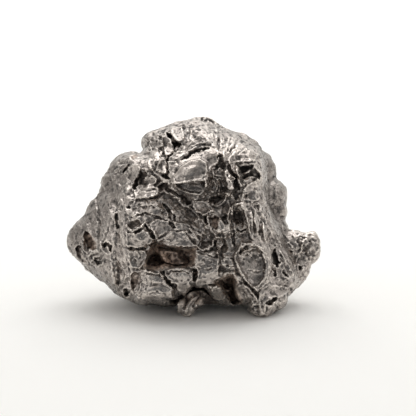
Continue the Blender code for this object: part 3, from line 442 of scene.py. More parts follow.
# Crests and cracks: path, height (negative for a crack), reach to the left and to the right.
lines = {
    "browCrack": dict(
        path=[(168, 157), (167, 166), (169, 176), (172, 187), (180, 193)],
        height=-1.0, left=1.1, right=1.1),
    "browEdge": dict(
        path=[(171, 184), (180, 182.5), (190, 180.5), (200, 179), (206, 176)],
        height=0.55, left=3.0, right=0.8),
    "browRightRim": dict(
        path=[(205, 180), (205, 187), (203, 193), (198, 198), (193, 201)],
        height=0.4, left=0.9, right=1.2),
    "slitEdge": dict(
        path=[(176, 159), (186, 153), (193, 149), (201, 144), (208, 143), (213, 145)],
        height=0.45, left=1.4, right=0.8),
    "curl": dict(
        path=[(213, 144), (217, 150), (218, 158), (217, 163), (212, 168)],
        height=0.65, left=1.5, right=1.0),
    "curlCrack": dict(
        path=[(218, 149), (220.5, 158), (219, 165), (214, 170), (213, 177)],
        height=-1.0, left=1.3, right=1.1),
    "hookCrest": dict(
        path=[(211, 170), (212, 176), (211, 182), (208, 184)],
        height=0.5, left=0.9, right=0.9),
    "crownRidgeA": dict(path=[(208, 129), (209, 137)], height=0.35, left=1.0, right=1.0),
    "crownRidgeB": dict(path=[(212, 129), (212.5, 138)], height=0.35, left=0.9, right=0.9),
    "crownRidgeC": dict(path=[(216, 127), (217, 138), (214, 147)], height=0.55, left=1.3, right=1.0),
    "crownRidgeD": dict(path=[(221, 131), (222, 141), (219, 149)], height=0.5, left=1.2, right=1.0),
    "crownRidgeE": dict(path=[(227, 134), (229, 139)], height=0.35, left=1.0, right=1.0),
    "crownGrooveA": dict(path=[(219, 139), (218.5, 151)], height=-0.8, left=0.9, right=0.9),
    "crownGrooveB": dict(path=[(226, 137), (226, 146)], height=-0.9, left=0.9, right=0.9),
    "crownGrooveC": dict(path=[(237.5, 140), (235, 146), (230, 151)], height=-1.2, left=1.0, right=1.0),
    "crownGrooveD": dict(path=[(230, 139), (229, 148), (227, 152)], height=-0.9, left=0.9, right=0.9),
    "crownNotch": dict(path=[(204, 121), (209, 119.5), (214, 123)], height=-0.7, left=1.0, right=1.0),
    "crownCrack": dict(
        path=[(183, 126), (187, 134), (185, 146)],
        height=-0.5, left=0.9, right=0.9, step=0.4),
    "crownFold": dict(path=[(192, 129), (201, 128), (206, 131)], height=0.3, left=1.0, right=0.8),
    "leafCrack": dict(
        path=[(174.5, 144), (174.5, 152), (169, 157.5), (167, 160)],
        height=-0.9, left=0.8, right=0.8),
    "knobCrack": dict(
        path=[(143, 148), (148, 146), (150, 151), (148, 157), (144, 161)],
        height=-0.6, left=1.1, right=1.1),
    "scurl": dict(
        path=[(156, 150), (160, 149.5), (163, 152), (164, 155.5), (160, 157)],
        height=-0.7, left=0.8, right=0.8),
    "arc": dict(
        path=[(243, 152), (248, 148), (254, 146.5), (259, 150), (262, 158), (262.5, 172), (263, 186),
              (264, 196)],
        height=0.6, left=1.2, right=1.2),
    "arcGroove": dict(
        path=[(238, 154), (244, 147.5), (251, 144.5), (258, 146)],
        height=-0.5, left=0.9, right=0.9),
    "rightBrowEdge": dict(
        path=[(227, 164), (234, 163), (241, 162), (248, 161), (255, 160.5)],
        height=0.55, left=1.6, right=0.8),
    "rightBrowSlit": dict(
        path=[(257.5, 157), (259, 162), (260, 167)],
        height=-0.9, left=0.9, right=0.9),
    "nose": dict(
        path=[(223, 150), (224, 160), (227, 170), (231, 179), (232.5, 190), (229, 196)],
        height=0.7, left=1.4, right=1.4),
    "flankLine": dict(
        path=[(262, 192), (264, 203), (268, 218), (274, 232), (281, 247)],
        height=0.45, left=1.0, right=0.9),
    "innerArch": dict(
        path=[(214.5, 177), (215.5, 172), (219, 168.5), (223.5, 169.5), (226, 173)],
        height=0.6, left=1.2, right=1.2),
    "valleyRibA": dict(path=[(214, 181), (218, 188), (222, 197)], height=0.55, left=0.8, right=0.8),
    "valleyRibC": dict(path=[(210.5, 185), (213, 191), (216, 197)], height=0.5, left=0.8, right=0.8),
    "valleyRibD": dict(path=[(219, 178), (224, 184), (226, 192)], height=0.5, left=0.8, right=0.8),
    "valleyEdge": dict(path=[(211, 178), (217, 179), (223, 179)], height=0.4, left=0.8, right=0.8),
    "lowerLeftEdge": dict(
        path=[(136, 304), (139, 296), (139, 288), (142, 280), (143, 273)],
        height=0.5, left=0.8, right=0.8),
    "lowerLeftFoot": dict(
        path=[(137, 304.5), (144, 305.5), (149, 301.5), (156, 303.5), (163, 304), (168, 298.5),
              (175, 296)],
        height=0.5, left=0.9, right=0.9, step=-0.8),
    "lowerLeftCrackA": dict(
        path=[(143, 284), (150, 286), (158, 284)],
        height=-0.3, left=0.7, right=0.7),
    "lowerLeftCrackB": dict(
        path=[(150, 294), (158, 292), (166, 294)],
        height=-0.35, left=0.7, right=0.7),
    "lowerLeftCrackC": dict(
        path=[(146, 276), (148, 283), (146, 290)],
        height=-0.25, left=0.6, right=0.6),
    "valleyRibB": dict(path=[(234, 176), (238, 183), (238, 192)], height=0.4, left=0.8, right=0.8),
    "socketRib": dict(path=[(240, 177), (246, 172.5), (252, 169)], height=0.4, left=0.8, right=0.8),
    "loopRim": dict(
        path=[(207, 201), (212, 205), (217, 206.5), (222, 204), (225.5, 199), (227, 193)],
        height=0.75, left=1.3, right=1.3),
    "paneRim": dict(
        path=[(232, 214), (232, 207), (236, 204), (241, 202.5), (243, 208), (245, 216), (248, 225),
              (248, 232)],
        height=0.9, left=1.3, right=1.2),
    "paneLeft": dict(path=[(231.5, 214), (231.5, 228), (233, 240)], height=0.5, left=1.0, right=0.9),
    "tongueCrack": dict(
        path=[(190, 206), (197, 212), (204, 217)],
        height=-0.6, left=1.0, right=0.9, step=-0.4),
    "upperMiddleCrack": dict(
        path=[(139, 199.5), (147, 199), (152, 198), (158, 196.5), (163, 194)],
        height=-0.7, left=1.0, right=0.8, step=-0.5),
    "upperMiddleFold": dict(
        path=[(140, 189), (147, 191), (155, 189)],
        height=-0.5, left=0.8, right=0.8),
    "secondCrack": dict(
        path=[(140, 207), (150, 206), (158, 209), (164, 213)],
        height=-0.5, left=0.8, right=0.8, step=-0.5),
    "thirdCrack": dict(
        path=[(138, 215), (146, 213), (155, 216), (163, 219)],
        height=-0.5, left=0.8, right=0.8, step=-0.5),
    "diagonalCrack": dict(
        path=[(169, 196), (176, 200), (182, 207), (190, 210), (196, 216)],
        height=-0.45, left=0.9, right=0.9, step=-0.5),
    "ledge": dict(
        path=[(127, 225), (129.5, 229), (133, 232), (138, 229), (142, 226), (145, 222.5)],
        height=0.9, left=1.25, right=1.25),
    "elbowSlit": dict(
        path=[(145, 224), (148, 229), (152, 234), (155, 238)],
        height=-1.3, left=1.0, right=0.9),
    "elbowCrest": dict(
        path=[(147, 224), (151, 229), (155, 234), (158, 241)],
        height=0.8, left=1.25, right=1.25),
    "middleCrackA": dict(
        path=[(157, 240), (164, 236), (170, 231), (178, 231), (186, 230), (191, 233)],
        height=-0.45, left=0.8, right=0.8, step=0.4),
    "middleCrackB": dict(
        path=[(186, 233), (190, 239), (196, 244)],
        height=-0.6, left=0.9, right=0.9, step=0.4),
    "middleCrackC": dict(
        path=[(191, 225), (196, 230), (201, 233), (206, 238)],
        height=-0.6, left=0.9, right=0.9),
    "cavityCornerCrack": dict(
        path=[(131, 249), (139, 249.5), (148, 246.5), (156, 241.5)],
        height=-0.9, left=0.9, right=0.9, step=0.3),
    "cavityCrack": dict(
        path=[(181, 248), (180.5, 253), (184, 257), (188, 259), (189.5, 264)],
        height=-2.0, left=1.5, right=1.5),
    "besideCrackA": dict(path=[(137, 250), (141, 254), (140, 259)], height=-0.5, left=0.7, right=0.7),
    "spike": dict(
        path=[(207, 214), (208, 222), (210, 228), (214, 233), (217, 237)],
        height=0.8, left=0.9, right=0.9),
    "ladderRungA": dict(
        path=[(198, 219), (203, 221), (207, 229), (213, 231)],
        height=0.4, left=0.8, right=0.8),
    "hook": dict(path=[(198, 247), (203, 249.5), (208, 249), (212, 246), (213.5, 241), (216, 237.5),
                       (219, 239), (219, 246), (217.5, 253)], height=2.1, left=1.5, right=1.5),
    "hangingCrackA": dict(
        path=[(198, 253), (204, 254), (211, 257), (218, 257)],
        height=-0.45, left=0.8, right=0.8, step=0.3),
    "hangingCrackB": dict(path=[(220, 258), (221, 267), (219, 276)], height=-0.6, left=0.8, right=0.8),
    "hangingCrackC": dict(path=[(198, 268), (205, 270), (212, 269)], height=-0.4, left=0.7, right=0.7),
    "columnCrack": dict(
        path=[(222, 232), (224, 242), (221, 252), (223, 262)],
        height=-0.6, left=0.9, right=0.9),
    "lowerEdge": dict(
        path=[(213, 282), (221, 277), (227, 272), (234, 272)],
        height=0.4, left=1.4, right=0.8),
    "shieldRim": dict(
        path=[(166, 277), (166, 271), (168, 268), (172, 268), (176, 269.7), (184, 268.7), (190, 270.5),
              (194, 273)],
        height=0.75, left=1.25, right=1.25),
    "shieldGroove": dict(
        path=[(169, 274), (170.5, 270.7), (176, 272), (184, 271), (189, 273)],
        height=-0.6, left=0.7, right=0.7),
    "plateRim": dict(
        path=[(145, 270.5), (152, 271.5), (160, 272.5), (164, 276)],
        height=0.6, left=1.25, right=1.25),
    "plateGroove": dict(
        path=[(147, 273.5), (153, 274.5), (160, 275.5)],
        height=-0.45, left=0.7, right=0.7),
    "pitCrest": dict(path=[(131, 287), (132.5, 294), (131, 300)], height=0.5, left=0.8, right=0.8),
    "flankRidgeA": dict(
        path=[(110, 256), (112, 265), (113, 275), (116, 285), (121, 291)],
        height=0.6, left=1.4, right=1.2),
    "flankRidgeB": dict(
        path=[(120, 262), (124, 268), (126, 275), (124, 282), (119, 287)],
        height=0.6, left=1.0, right=1.0),
    "flankCrackA": dict(
        path=[(116, 260), (118, 271), (118, 284)],
        height=-0.5, left=1.0, right=1.0, step=0.5),
    "flankCrackB": dict(
        path=[(127, 261), (130, 270), (130, 280)],
        height=-0.4, left=0.9, right=0.9, step=-0.5),
    "flankCrackC": dict(
        path=[(109, 222), (108, 230), (105, 237)],
        height=-0.3, left=1.0, right=1.0, step=0.5),
    "flankCrackD": dict(
        path=[(97, 206), (99, 218), (98, 232)],
        height=-0.3, left=1.2, right=1.2, step=0.5),
    "flankCrackE": dict(
        path=[(123, 196), (124, 208), (127, 216)],
        height=-0.3, left=0.9, right=0.9, step=-0.4),
    "tipRib": dict(path=[(81, 241), (84, 250), (88, 256), (92, 254)], height=0.6, left=1.1, right=1.0),
    "tipRingCrest": dict(
        path=[(91, 262), (94, 257), (99, 255.5), (103, 259), (102, 264), (98, 267), (94, 265),
              (91, 262)],
        height=0.5, left=1.2, right=1.2),
    "socketCrest": dict(
        path=[(100.5, 243), (102, 250), (107, 254), (112, 253)],
        height=0.5, left=1.0, right=0.9),
    "dishLip": dict(
        path=[(245, 244), (251, 243.5), (258, 245), (263, 248)],
        height=0.5, left=1.0, right=0.9),
    "dishLeft": dict(
        path=[(241, 243), (240, 248), (236, 252), (235, 258), (237, 264), (241, 272), (246, 280),
              (252, 287), (258, 291)],
        height=0.6, left=1.1, right=1.1),
    "dishCrack": dict(
        path=[(233, 259), (236, 269), (241, 278), (247, 285), (253, 290)],
        height=-0.6, left=1.1, right=1.0, step=-0.4),
    "dishNick": dict(path=[(248, 270), (254, 272), (260, 272)], height=-0.35, left=0.8, right=0.8),
    "rightRidge": dict(
        path=[(243, 204), (249, 212), (254, 222), (257, 233), (262, 243)],
        height=0.55, left=1.4, right=1.2),
    "rightRidgeB": dict(
        path=[(258, 204), (264, 218), (271, 232), (277, 246), (284, 258), (291, 270), (296, 279)],
        height=0.75, left=1.4, right=1.4),
    "rightGrooveB": dict(
        path=[(253, 205), (262, 220), (266, 232), (272, 243)],
        height=-0.4, left=1.0, right=1.0, step=0.5),
    "rightGrooveC": dict(
        path=[(267, 212), (272, 226), (279, 240)],
        height=-0.45, left=1.0, right=1.0, step=0.5),
    "ribCurl": dict(
        path=[(274, 277), (276, 269), (280, 264), (283, 263)],
        height=0.5, left=0.9, right=0.9),
    "footRim": dict(
        path=[(260, 288), (265, 284.5), (273, 284.5), (281, 286.5)],
        height=0.45, left=0.9, right=0.9),
    "footCrest": dict(path=[(257, 290), (259, 300), (262, 313)], height=0.45, left=1.4, right=1.4),
    "neckRidge": dict(path=[(283, 244), (288, 243), (293, 246)], height=0.4, left=0.9, right=0.9),
    "knobRidge": dict(
        path=[(303, 242), (301, 251), (297, 259), (294, 265)],
        height=0.5, left=1.2, right=1.2),
    "knobGroove": dict(path=[(304, 246), (306, 254), (309, 259)], height=-0.4, left=1.0, right=1.0),
}

# Crests and cracks of the lump that hangs under the face as its front foot.
noduleLines = {
    "outerCrest": dict(
        path=[(180, 312), (181, 305), (185, 299), (190, 295), (196, 292)],
        height=0.45, left=1.1, right=1.1),
    "innerCrest": dict(
        path=[(186, 312), (188, 305), (192, 300), (197, 297)],
        height=0.4, left=1.0, right=1.0),
    "hollow": dict(path=[(184, 308), (187, 301), (191, 297)], height=-0.6, left=1.0, right=1.0),
    "sideCrest": dict(path=[(199, 304), (201, 298), (205, 294)], height=0.4, left=1.0, right=1.0),
    "sideHollow": dict(path=[(194, 306), (197, 301), (201, 295)], height=-0.6, left=1.1, right=1.1),
    "lowCrest": dict(path=[(179, 314), (184, 316), (190, 314)], height=0.3, left=1.0, right=1.0),
}

# Single pits: place, radius in squares, depth in mm.
pits = [
    (153, 134, 1.3, 0.5), (160, 137, 1.6, 0.6), (157, 142, 1.3, 0.5), (152, 140, 1.1, 0.4),
    (163, 146, 1.2, 0.4), (120, 163, 2.0, 0.5), (202, 119, 1.3, 0.5), (231, 144, 1.3, 0.5),
    (267, 167, 1.6, 0.5), (254, 179, 1.7, 0.8), (247, 201, 2.1, 0.39), (251, 205, 2.0, 0.39),
    (254, 201, 1.8, 0.33), (250, 209, 2.0, 0.39), (256, 206, 1.7, 0.28), (284, 195, 1.5, 0.5),
    (157, 291, 1.2, 0.4), (162, 280, 1.0, 0.3), (151, 283, 1.0, 0.3), (147, 293, 1.0, 0.3),
    (177, 275, 1.2, 0.4), (182, 281, 0.9, 0.3), (243, 253, 1.0, 0.3), (247, 255, 1.1, 0.35),
    (244, 259, 1.1, 0.35), (251, 252, 0.9, 0.3), (252, 258, 1.0, 0.3), (248, 262, 1.0, 0.3),
    (256, 261, 0.9, 0.25), (243, 265, 0.9, 0.25), (260, 277, 0.9, 0.25), (300, 268, 2.0, 0.8),
    (305, 238, 1.2, 0.35), (309, 241, 1.1, 0.3), (291, 289, 1.2, 0.4), (135, 260, 1.2, 0.4),
    (139, 205, 1.4, 0.6), (129, 207, 1.6, 0.7), (133, 203, 1.2, 0.5), (120, 210, 1.2, 0.4),
    (220, 235, 1.3, 0.4), (224, 258, 1.4, 0.5), (228, 266, 1.3, 0.4), (211, 262, 1.0, 0.3),
]

# Broken layers and roughness: size and depth in mm.
texture = {
    "layers": dict(size=3.2, depth=0.9),
    "smallLayers": dict(size=1.8, depth=0.45),
    "lumps": [dict(size=2.3, depth=0.65), dict(size=1.1, depth=0.36)],
    "foil": [dict(size=0.95, depth=0.20, dome=0.3, lean=0.9),
             dict(size=0.5, depth=-0.08, dome=0.3, lean=0.9)],
    "foilOnFlanks": 0.8,
    "flakes": dict(size=0.95, depth=0.24),
    "strength": 0.65,
    "fibres": dict(size=0.8, depth=0.27),
    "sideLayers": [dict(size=3.4, depth=0.42, steps=3.0), dict(size=1.8, depth=0.30, steps=2.0),
                   dict(size=0.9, depth=0.12, steps=2.0)],
    "sideLumps": [dict(size=2.6, depth=0.40), dict(size=1.3, depth=0.22, dome=0.3, lean=0.9),
                  dict(size=0.6, depth=0.05, dome=0.3, lean=0.9)],
    "cracks": dict(size=2.6, width=0.07, depth=0.42),
    "sideBend": dict(size=2.2, reach=0.6),
    "grain": dict(size=0.6, depth=0.03),
    "rimShare": 0.45,
}

# The flanks of the face are drawn out in long lumps: middle of the flank on the sheet, its half
# size there, the way it runs and how much longer than wide its lumps are.
flanks = {
    "left": dict(at=(98, 235), half=(34, 62), run=(0.22, 1.0), stretch=3.2, quiet=1.0),
    "right": dict(at=(270, 232), half=(26, 60), run=(0.5, 1.0), stretch=2.6, quiet=1.0),
    "rightBack": dict(at=(276, 190), half=(14, 26), run=(0.3, 1.0), stretch=1.3, quiet=0.9),
}

# Lumps of the solid that stand free of the face and keep their own form: place and radius.
guarded = [(186, 309, 7.0), (195, 300, 6.0)]

build = {
    "voxel": 0.135,
    "smooth": 6,
    "residueRounds": 40,
    "softened": 1,
    "faces": 192000,
    "backFaces": 60000,
    "facingFrom": 0.05,
    "facingRun": 0.55,
    "steepFrom": 0.45,
    "steepRun": 0.4,
    "guardFade": 3.0,
    "lumpTo": -2.0,
    "tableFade": 1.2,
    "roomShare": 0.8,
    "frontTo": 0.6,
    "frontRagged": 0.8,
}


def smoothStep(share):
    share = np.clip(share, 0.0, 1.0)
    return share * share * (3.0 - 2.0 * share)


def randomAt(cells, seed):
    mixed = cells[:, 0] * 73856093 ^ cells[:, 1] * 19349663 ^ cells[:, 2] * 83492791 ^ seed * 40503
    mixed &= 0xFFFFFFFF
    values = []
    for _ in range(3):
        mixed = (mixed ^ mixed >> 15) * 0x2C1B3C6D & 0xFFFFFFFF
        mixed = (mixed ^ mixed >> 12) * 0x297A2D39 & 0xFFFFFFFF
        values.append(mixed / 0x7FFFFFFF - 1.0)
    return np.stack(values, axis=1)


def noise(points, size, seed):
    scaled = points / size
    corner = np.floor(scaled).astype(np.int64)
    part = scaled - corner
    fade = part ** 3 * (part * (part * 6.0 - 15.0) + 10.0)
    total = np.zeros(len(points))
    for step in itertools.product((0, 1), repeat=3):
        step = np.array(step)
        gradient = randomAt(corner + step, seed)
        weight = np.where(step, fade, 1.0 - fade).prod(axis=1)
        total += weight * ((part - step) * gradient).sum(axis=1)
    return total * 1.5


def threeNoises(points, size, seed):
    return np.stack([noise(points, size, seed + i) for i in range(3)], axis=1)


# Noise cut into level steps with short steep faces, like broken layers of metal.
def terraces(points, size, steps, seed, sharpness=0.3):
    value = noise(points, size, seed) + 0.45 * noise(points, size * 0.42, seed + 1)
    level = value * steps
    part = level - np.floor(level)
    return (np.floor(level) + smoothStep((part - 0.5) / sharpness + 0.5)) / steps


# Lumps that meet in creases, each leaning its own way: domed, or nearly flat like crumpled foil.
# Flat points need only their own layer of lumps.
def lumps(points, size, seed, flat=False, dome=0.9, lean=0.55):
    scaled = points / size
    home = np.floor(scaled).astype(np.int64)
    height = np.full(len(points), -9.0)
    for step in itertools.product((-1, 0, 1), (-1, 0, 1), (0,) if flat else (-1, 0, 1)):
        cell = home + np.array(step)
        offset = scaled - (cell + 0.5 + 0.42 * randomAt(cell, seed))
        if flat:
            offset[:, 2] = 0.0
        rise = 0.35 * randomAt(cell, seed + 2)[:, 0]
        rise = rise + lean * (offset * randomAt(cell, seed + 1)).sum(axis=1)
        height = np.maximum(height, rise - dome * (offset ** 2).sum(axis=1))
    return height


def toSheet(points):
    nearness = sheet["distance"] / (sheet["distance"] + points[:, 1])
    across = sheet["centre"][0] + points[:, 0] * nearness / sheet["square"]
    down = sheet["centre"][1] - points[:, 2] * nearness / sheet["square"]
    return np.stack([across, down], axis=1)


def nearShape(places, corners, margin):
    corners = np.array(corners, float)
    low = corners.min(axis=0) - margin
    high = corners.max(axis=0) + margin
    return ((places > low) & (places < high)).all(axis=1)


def segmentGap(places, start, end):
    run = end - start
    offset = places - start
    share = np.clip(offset @ run / (run @ run), 0.0, 1.0)
    gap = np.linalg.norm(offset - share[:, None] * run, axis=1)
    side = run[0] * offset[:, 1] - run[1] * offset[:, 0]
    return gap, side


def insideGap(places, outline):
    outline = np.array(outline, float)
    nearest = np.full(len(places), 1e9)
    within = np.zeros(len(places), bool)
    for start, end in zip(outline, np.roll(outline, -1, axis=0)):
        nearest = np.minimum(nearest, segmentGap(places, start, end)[0])
        spans = (start[1] > places[:, 1]) != (end[1] > places[:, 1])
        if start[1] != end[1]:
            slope = (end[0] - start[0]) / (end[1] - start[1])
            within ^= spans & (places[:, 0] < start[0] + (places[:, 1] - start[1]) * slope)
    return np.where(within, nearest, -nearest)


def lineGap(places, path):
    path = np.array(path, float)
    nearest = np.full(len(places), 1e9)
    sign = np.ones(len(places))
    for start, end in zip(path, path[1:]):
        gap, side = segmentGap(places, start, end)
        nearer = gap < nearest
        sign = np.where(nearer, np.where(side > 0, 1.0, -1.0), sign)
        nearest = np.where(nearer, gap, nearest)
    return nearest * sign


def level(places):
    return np.stack([places[:, 0], places[:, 1], np.zeros(len(places))], axis=1)


def wobbled(places):
    flat = level(places)
    shift = np.stack([noise(flat, 9.0, 3), noise(flat, 9.0, 4)], axis=1) * 1.5
    shift += np.stack([noise(flat, 4.2, 5), noise(flat, 4.2, 6)], axis=1) * 0.5
    return places + shift


def lineRelief(places, table, strength=None):
    relief = np.zeros(len(places))
    for line in table.values():
        reach = 14.0 if "step" in line else 3.0 * max(line["left"], line["right"])
        near = nearShape(places, line["path"], reach)
        gap = lineGap(places[near], line["path"])
        run = np.where(gap > 0, line["right"], line["left"])
        height = line["height"] if strength is None else line["height"] * strength[near]
        relief[near] += height * np.exp(-(gap / run) ** 2)
        if "step" in line:  # one side stands higher, and falls back away from the line
            side = np.tanh(gap / 0.7) * np.exp(-(gap / line.get("reach", 7.0)) ** 2)
            relief[near] += 0.5 * line["step"] * side
    return relief


# Height of the face's plates, ridges, cracks, hollows and pits over its smooth form, in mm. Their
# outlines are ragged, and no line keeps one height along its way.
def faceRelief(exact):
    flat = level(exact)
    ragged = 1.3 * threeNoises(flat, 5.0, 601) + 0.85 * threeNoises(flat, 2.2, 611)
    places = exact + ragged[:, :2]
    strength = 0.85 + 0.75 * noise(flat, 7.0, 621)
    lumpy = noise(flat, 6.0, 631) + 0.5 * noise(flat, 3.0, 632)
    relief = np.zeros(len(places))
    for plate in plates.values():
        near = nearShape(places, plate["outline"], plate["step"] + 1.0)
        gap = insideGap(places[near], plate["outline"])
        lean = (places[near] - np.mean(plate["outline"], axis=0)) @ np.array(plate["lean"])
        relief[near] += smoothStep(gap / plate["step"] + 0.5) * (plate["lift"] + lean)
        rim = plate.get("rim", 0.14) * strength[near]
        relief[near] += rim * np.exp(-((gap - 0.9) / 0.8) ** 2)
    relief += lineRelief(places, lines, strength)
    for hollow in hollows.values():
        near = nearShape(places, hollow["mouth"], 0.0)
        gap = insideGap(places[near], hollow["mouth"])
        depth = hollow["depth"] * (1.0 + 0.3 * lumpy[near])
        relief[near] -= depth * smoothStep(gap / hollow["wall"])
    for across, down, radius, depth in pits:
        near = nearShape(places, [(across, down)], 3.0 * radius)
        away = np.hypot(places[near, 0] - across, places[near, 1] - down) + 0.5 * radius * lumpy[near]
        relief[near] -= depth * np.exp(-np.clip(away / radius, 0.0, None) ** 4)
    return relief


# Parts that lie deeper here than in the solid, or stand higher where the depth is negative.
deeper = {
    "belly": dict(
        mouth=[(170, 300), (175, 294), (180, 294), (186, 292), (189, 285), (193, 283), (199, 286),
               (206, 285), (210, 290), (215, 297), (209, 296), (203, 291), (194, 292), (186, 296),
               (181, 303), (174, 305)],
        depth=2.4, wall=2.6),
    "lowerCavity": dict(
        mouth=[(221, 283), (227, 277), (233, 276), (236, 283), (236, 292), (241, 303), (233, 305),
               (228, 297)],
        depth=1.8, wall=3.0),
    "cavityLeft": dict(
        mouth=[(146, 262), (150, 254), (155, 252), (160, 259), (165, 264), (172, 267), (160, 266)],
        depth=1.0, wall=3.0),
    "cavityLumps": dict(
        mouth=[(158, 249), (166, 247), (174, 249), (181, 250), (180, 256), (185, 260), (189, 266),
               (176, 267.5), (166, 264), (160, 257)],
        depth=-2.1, wall=3.4),
    "cavityChamberFloor": dict(
        mouth=[(184, 250), (196, 249), (196, 258), (194, 266), (190, 262), (184, 256)],
        depth=-1.3, wall=3.0),
    "besideBrowBlock": dict(
        mouth=[(207, 168), (213, 163), (221, 165), (230, 168), (233, 180), (232, 195), (225, 199),
               (214, 197), (206, 190)],
        depth=-0.9, wall=6.0),
    "noseBulk": dict(
        mouth=[(222, 169), (227, 166), (232, 175), (235, 186), (232, 194), (226, 192), (223, 181)],
        depth=-1.3, wall=2.6),
    "paleFacet": dict(
        mouth=[(228, 163), (237, 163), (241, 171), (241, 182), (235, 178), (230, 171)],
        depth=-1.1, wall=2.4),
    "rightMiddle": dict(
        mouth=[(200, 214), (212, 208), (226, 203), (233, 212), (232, 232), (229, 246), (214, 240),
               (203, 230)],
        depth=-0.7, wall=6.0),
}


# Painted shade in the deep hollows: how dark, and the outline on the sheet.
hollowShade = [
    (1.0, [(164, 306), (165, 299), (175, 296), (178, 292), (184, 293), (181, 299), (177, 307)]),
    (1.0, [(199, 291), (206, 285), (211, 291), (216, 298), (222, 304), (204, 307), (201, 300)]),
    (1.0, [(186, 285), (192, 282), (200, 284), (206, 284), (204, 288), (197, 290), (189, 292)]),
    (0.9, [(224, 288), (228, 284), (236, 284), (237, 292), (242, 303), (231, 306), (227, 297)]),
    (0.7, [(206, 284), (216, 280), (222, 277), (225, 283), (223, 287), (212, 287)]),
    (1.0, [(146, 264), (150, 255), (156, 252), (161, 259), (170, 266), (158, 266)]),
    (0.8, [(166, 265), (190, 265), (193, 268), (168, 269)]),
    (0.9, [(178, 194), (183, 192), (190, 197), (192, 204), (187, 207), (182, 203)]),
    (0.7, [(157, 186), (168, 182), (176, 190), (182, 196), (178, 198), (166, 193)]),
    (0.25, [(231, 172), (236, 178), (241, 190), (239, 199), (234, 201), (232, 187)]),
    (0.6, [(237, 165), (254, 164.5), (262, 176), (254, 178), (243, 180), (239, 171)]),
    (0.8, [(272, 249), (276, 248), (280, 263), (276, 267), (272, 258)]),
    (0.8, [(166, 133), (170, 133), (176, 141), (182, 146), (176, 149), (170, 140)]),
    (0.6, [(133, 190), (137, 177), (147, 172), (147, 178), (139, 184)]),
    (0.6, [(233, 211), (234, 206), (241, 205), (242, 211)]),
    (0.6, [(124, 289), (131, 288), (131, 296), (125, 297)]),
]


def deepening(places):
    relief = np.zeros(len(places))
    for part in deeper.values():
        near = nearShape(places, part["mouth"], 0.0)
        gap = insideGap(places[near], part["mouth"])
        relief[near] += part["depth"] * smoothStep(gap / part["wall"])
    for plate in plates.values():
        if "tilt" in plate:
            near = nearShape(places, plate["outline"], plate["step"] + 1.0)
            share = smoothStep(insideGap(places[near], plate["outline"]) / plate["step"] + 0.5)
            tilted = (places[near] - np.mean(plate["outline"], axis=0)) @ np.array(plate["tilt"])
            relief[near] -= share * (plate["bulk"] + tilted)
    return relief


# How much of the layered roughness each place keeps: less on the calm plates.
def roughShare(places):
    share = np.ones(len(places))
    for plate in plates.values():
        near = nearShape(places, plate["outline"], 0.0)
        inside = smoothStep(insideGap(places[near], plate["outline"]) / 2.0)
        share[near] *= 1.0 - plate["calm"] * inside
    return share


def onSheet(places):
    return level(places) * sheet["square"]


def lumpRelief(points, lumpTable, seed, flat):
    bent = points + 0.35 * threeNoises(points, 1.4, seed)
    relief = np.zeros(len(points))
    for number, lump in enumerate(lumpTable):
        dome, lean = lump.get("dome", 0.9), lump.get("lean", 0.55)
        relief += lump["depth"] * lumps(bent, lump["size"], seed + 10 * number + 5, flat, dome, lean)
        bent = bent[:, (1, 0, 2)] * 1.07 + 3.7
    return relief


def brokenLayers(points):
    big, small, flake = texture["layers"], texture["smallLayers"], texture["flakes"]
    relief = big["depth"] * terraces(points * np.array((1.0, 1.2, 1.0)), big["size"], 3.0, 71)
    relief += small["depth"] * terraces(points * np.array((1.1, 0.9, 1.0)) + 9.0, small["size"], 2.5, 81)
    return relief + flake["depth"] * terraces(points + 17.0, flake["size"], 2.0, 101, 0.22)


def faceLayers(places, wavy):
    points = onSheet(wavy)
    bent = points + 0.5 * threeNoises(points, 1.8, 61)
    relief = brokenLayers(bent) + lumpRelief(onSheet(places), texture["lumps"], 300, True)
    foil = lumpRelief(onSheet(places), texture["foil"], 700, True)
    for number, flank in enumerate(flanks.values()):
        away = (places - flank["at"]) / flank["half"]
        share = smoothStep((1.15 - np.linalg.norm(away, axis=1)) / 0.4)
        inside = share > 0.0
        run = np.array(flank["run"]) / np.linalg.norm(flank["run"])
        along = onSheet(places[inside])
        turned = np.stack([along[:, 0] * run[1] - along[:, 1] * run[0],
                           (along[:, 0] * run[0] + along[:, 1] * run[1]) / flank["stretch"],
                           along[:, 2]], axis=1)
        drawn = flank["quiet"] * lumpRelief(turned, texture["lumps"], 400 + 100 * number, True)
        fibre = texture["fibres"]
        drawn += fibre["depth"] * terraces(turned, fibre["size"], 2.0, 450 + 100 * number, 0.22)
        relief[inside] += share[inside] * (drawn - relief[inside])
        foil[inside] *= 1.0 - (1.0 - texture["foilOnFlanks"]) * share[inside]
    return texture["strength"] * (relief + foil)


def averaged(values, edges, rounds):
    count = np.bincount(edges.ravel(), minlength=len(values)).astype(float)
    for _ in range(rounds):
        total = np.bincount(edges[:, 0], values[edges[:, 1]], len(values))
        total += np.bincount(edges[:, 1], values[edges[:, 0]], len(values))
        values = 0.5 * values + 0.5 * total / count
    return values


def averagedPoints(points, edges, rounds):
    return np.stack([averaged(column, edges, rounds) for column in points.T], axis=1)


def pointsOf(mesh):
    values = np.empty(len(mesh.vertices) * 3)
    mesh.vertices.foreach_get("co", values)
    return values.reshape(-1, 3)


def normalsOf(mesh):
    values = np.empty(len(mesh.vertices) * 3)
    mesh.vertex_normals.foreach_get("vector", values)
    return values.reshape(-1, 3)


def edgesOf(mesh):
    values = np.empty(len(mesh.edges) * 2, np.int32)
    mesh.edges.foreach_get("vertices", values)
    return values.reshape(-1, 2)


def setPoints(mesh, points):
    mesh.vertices.foreach_set("co", points.ravel())
    mesh.update()


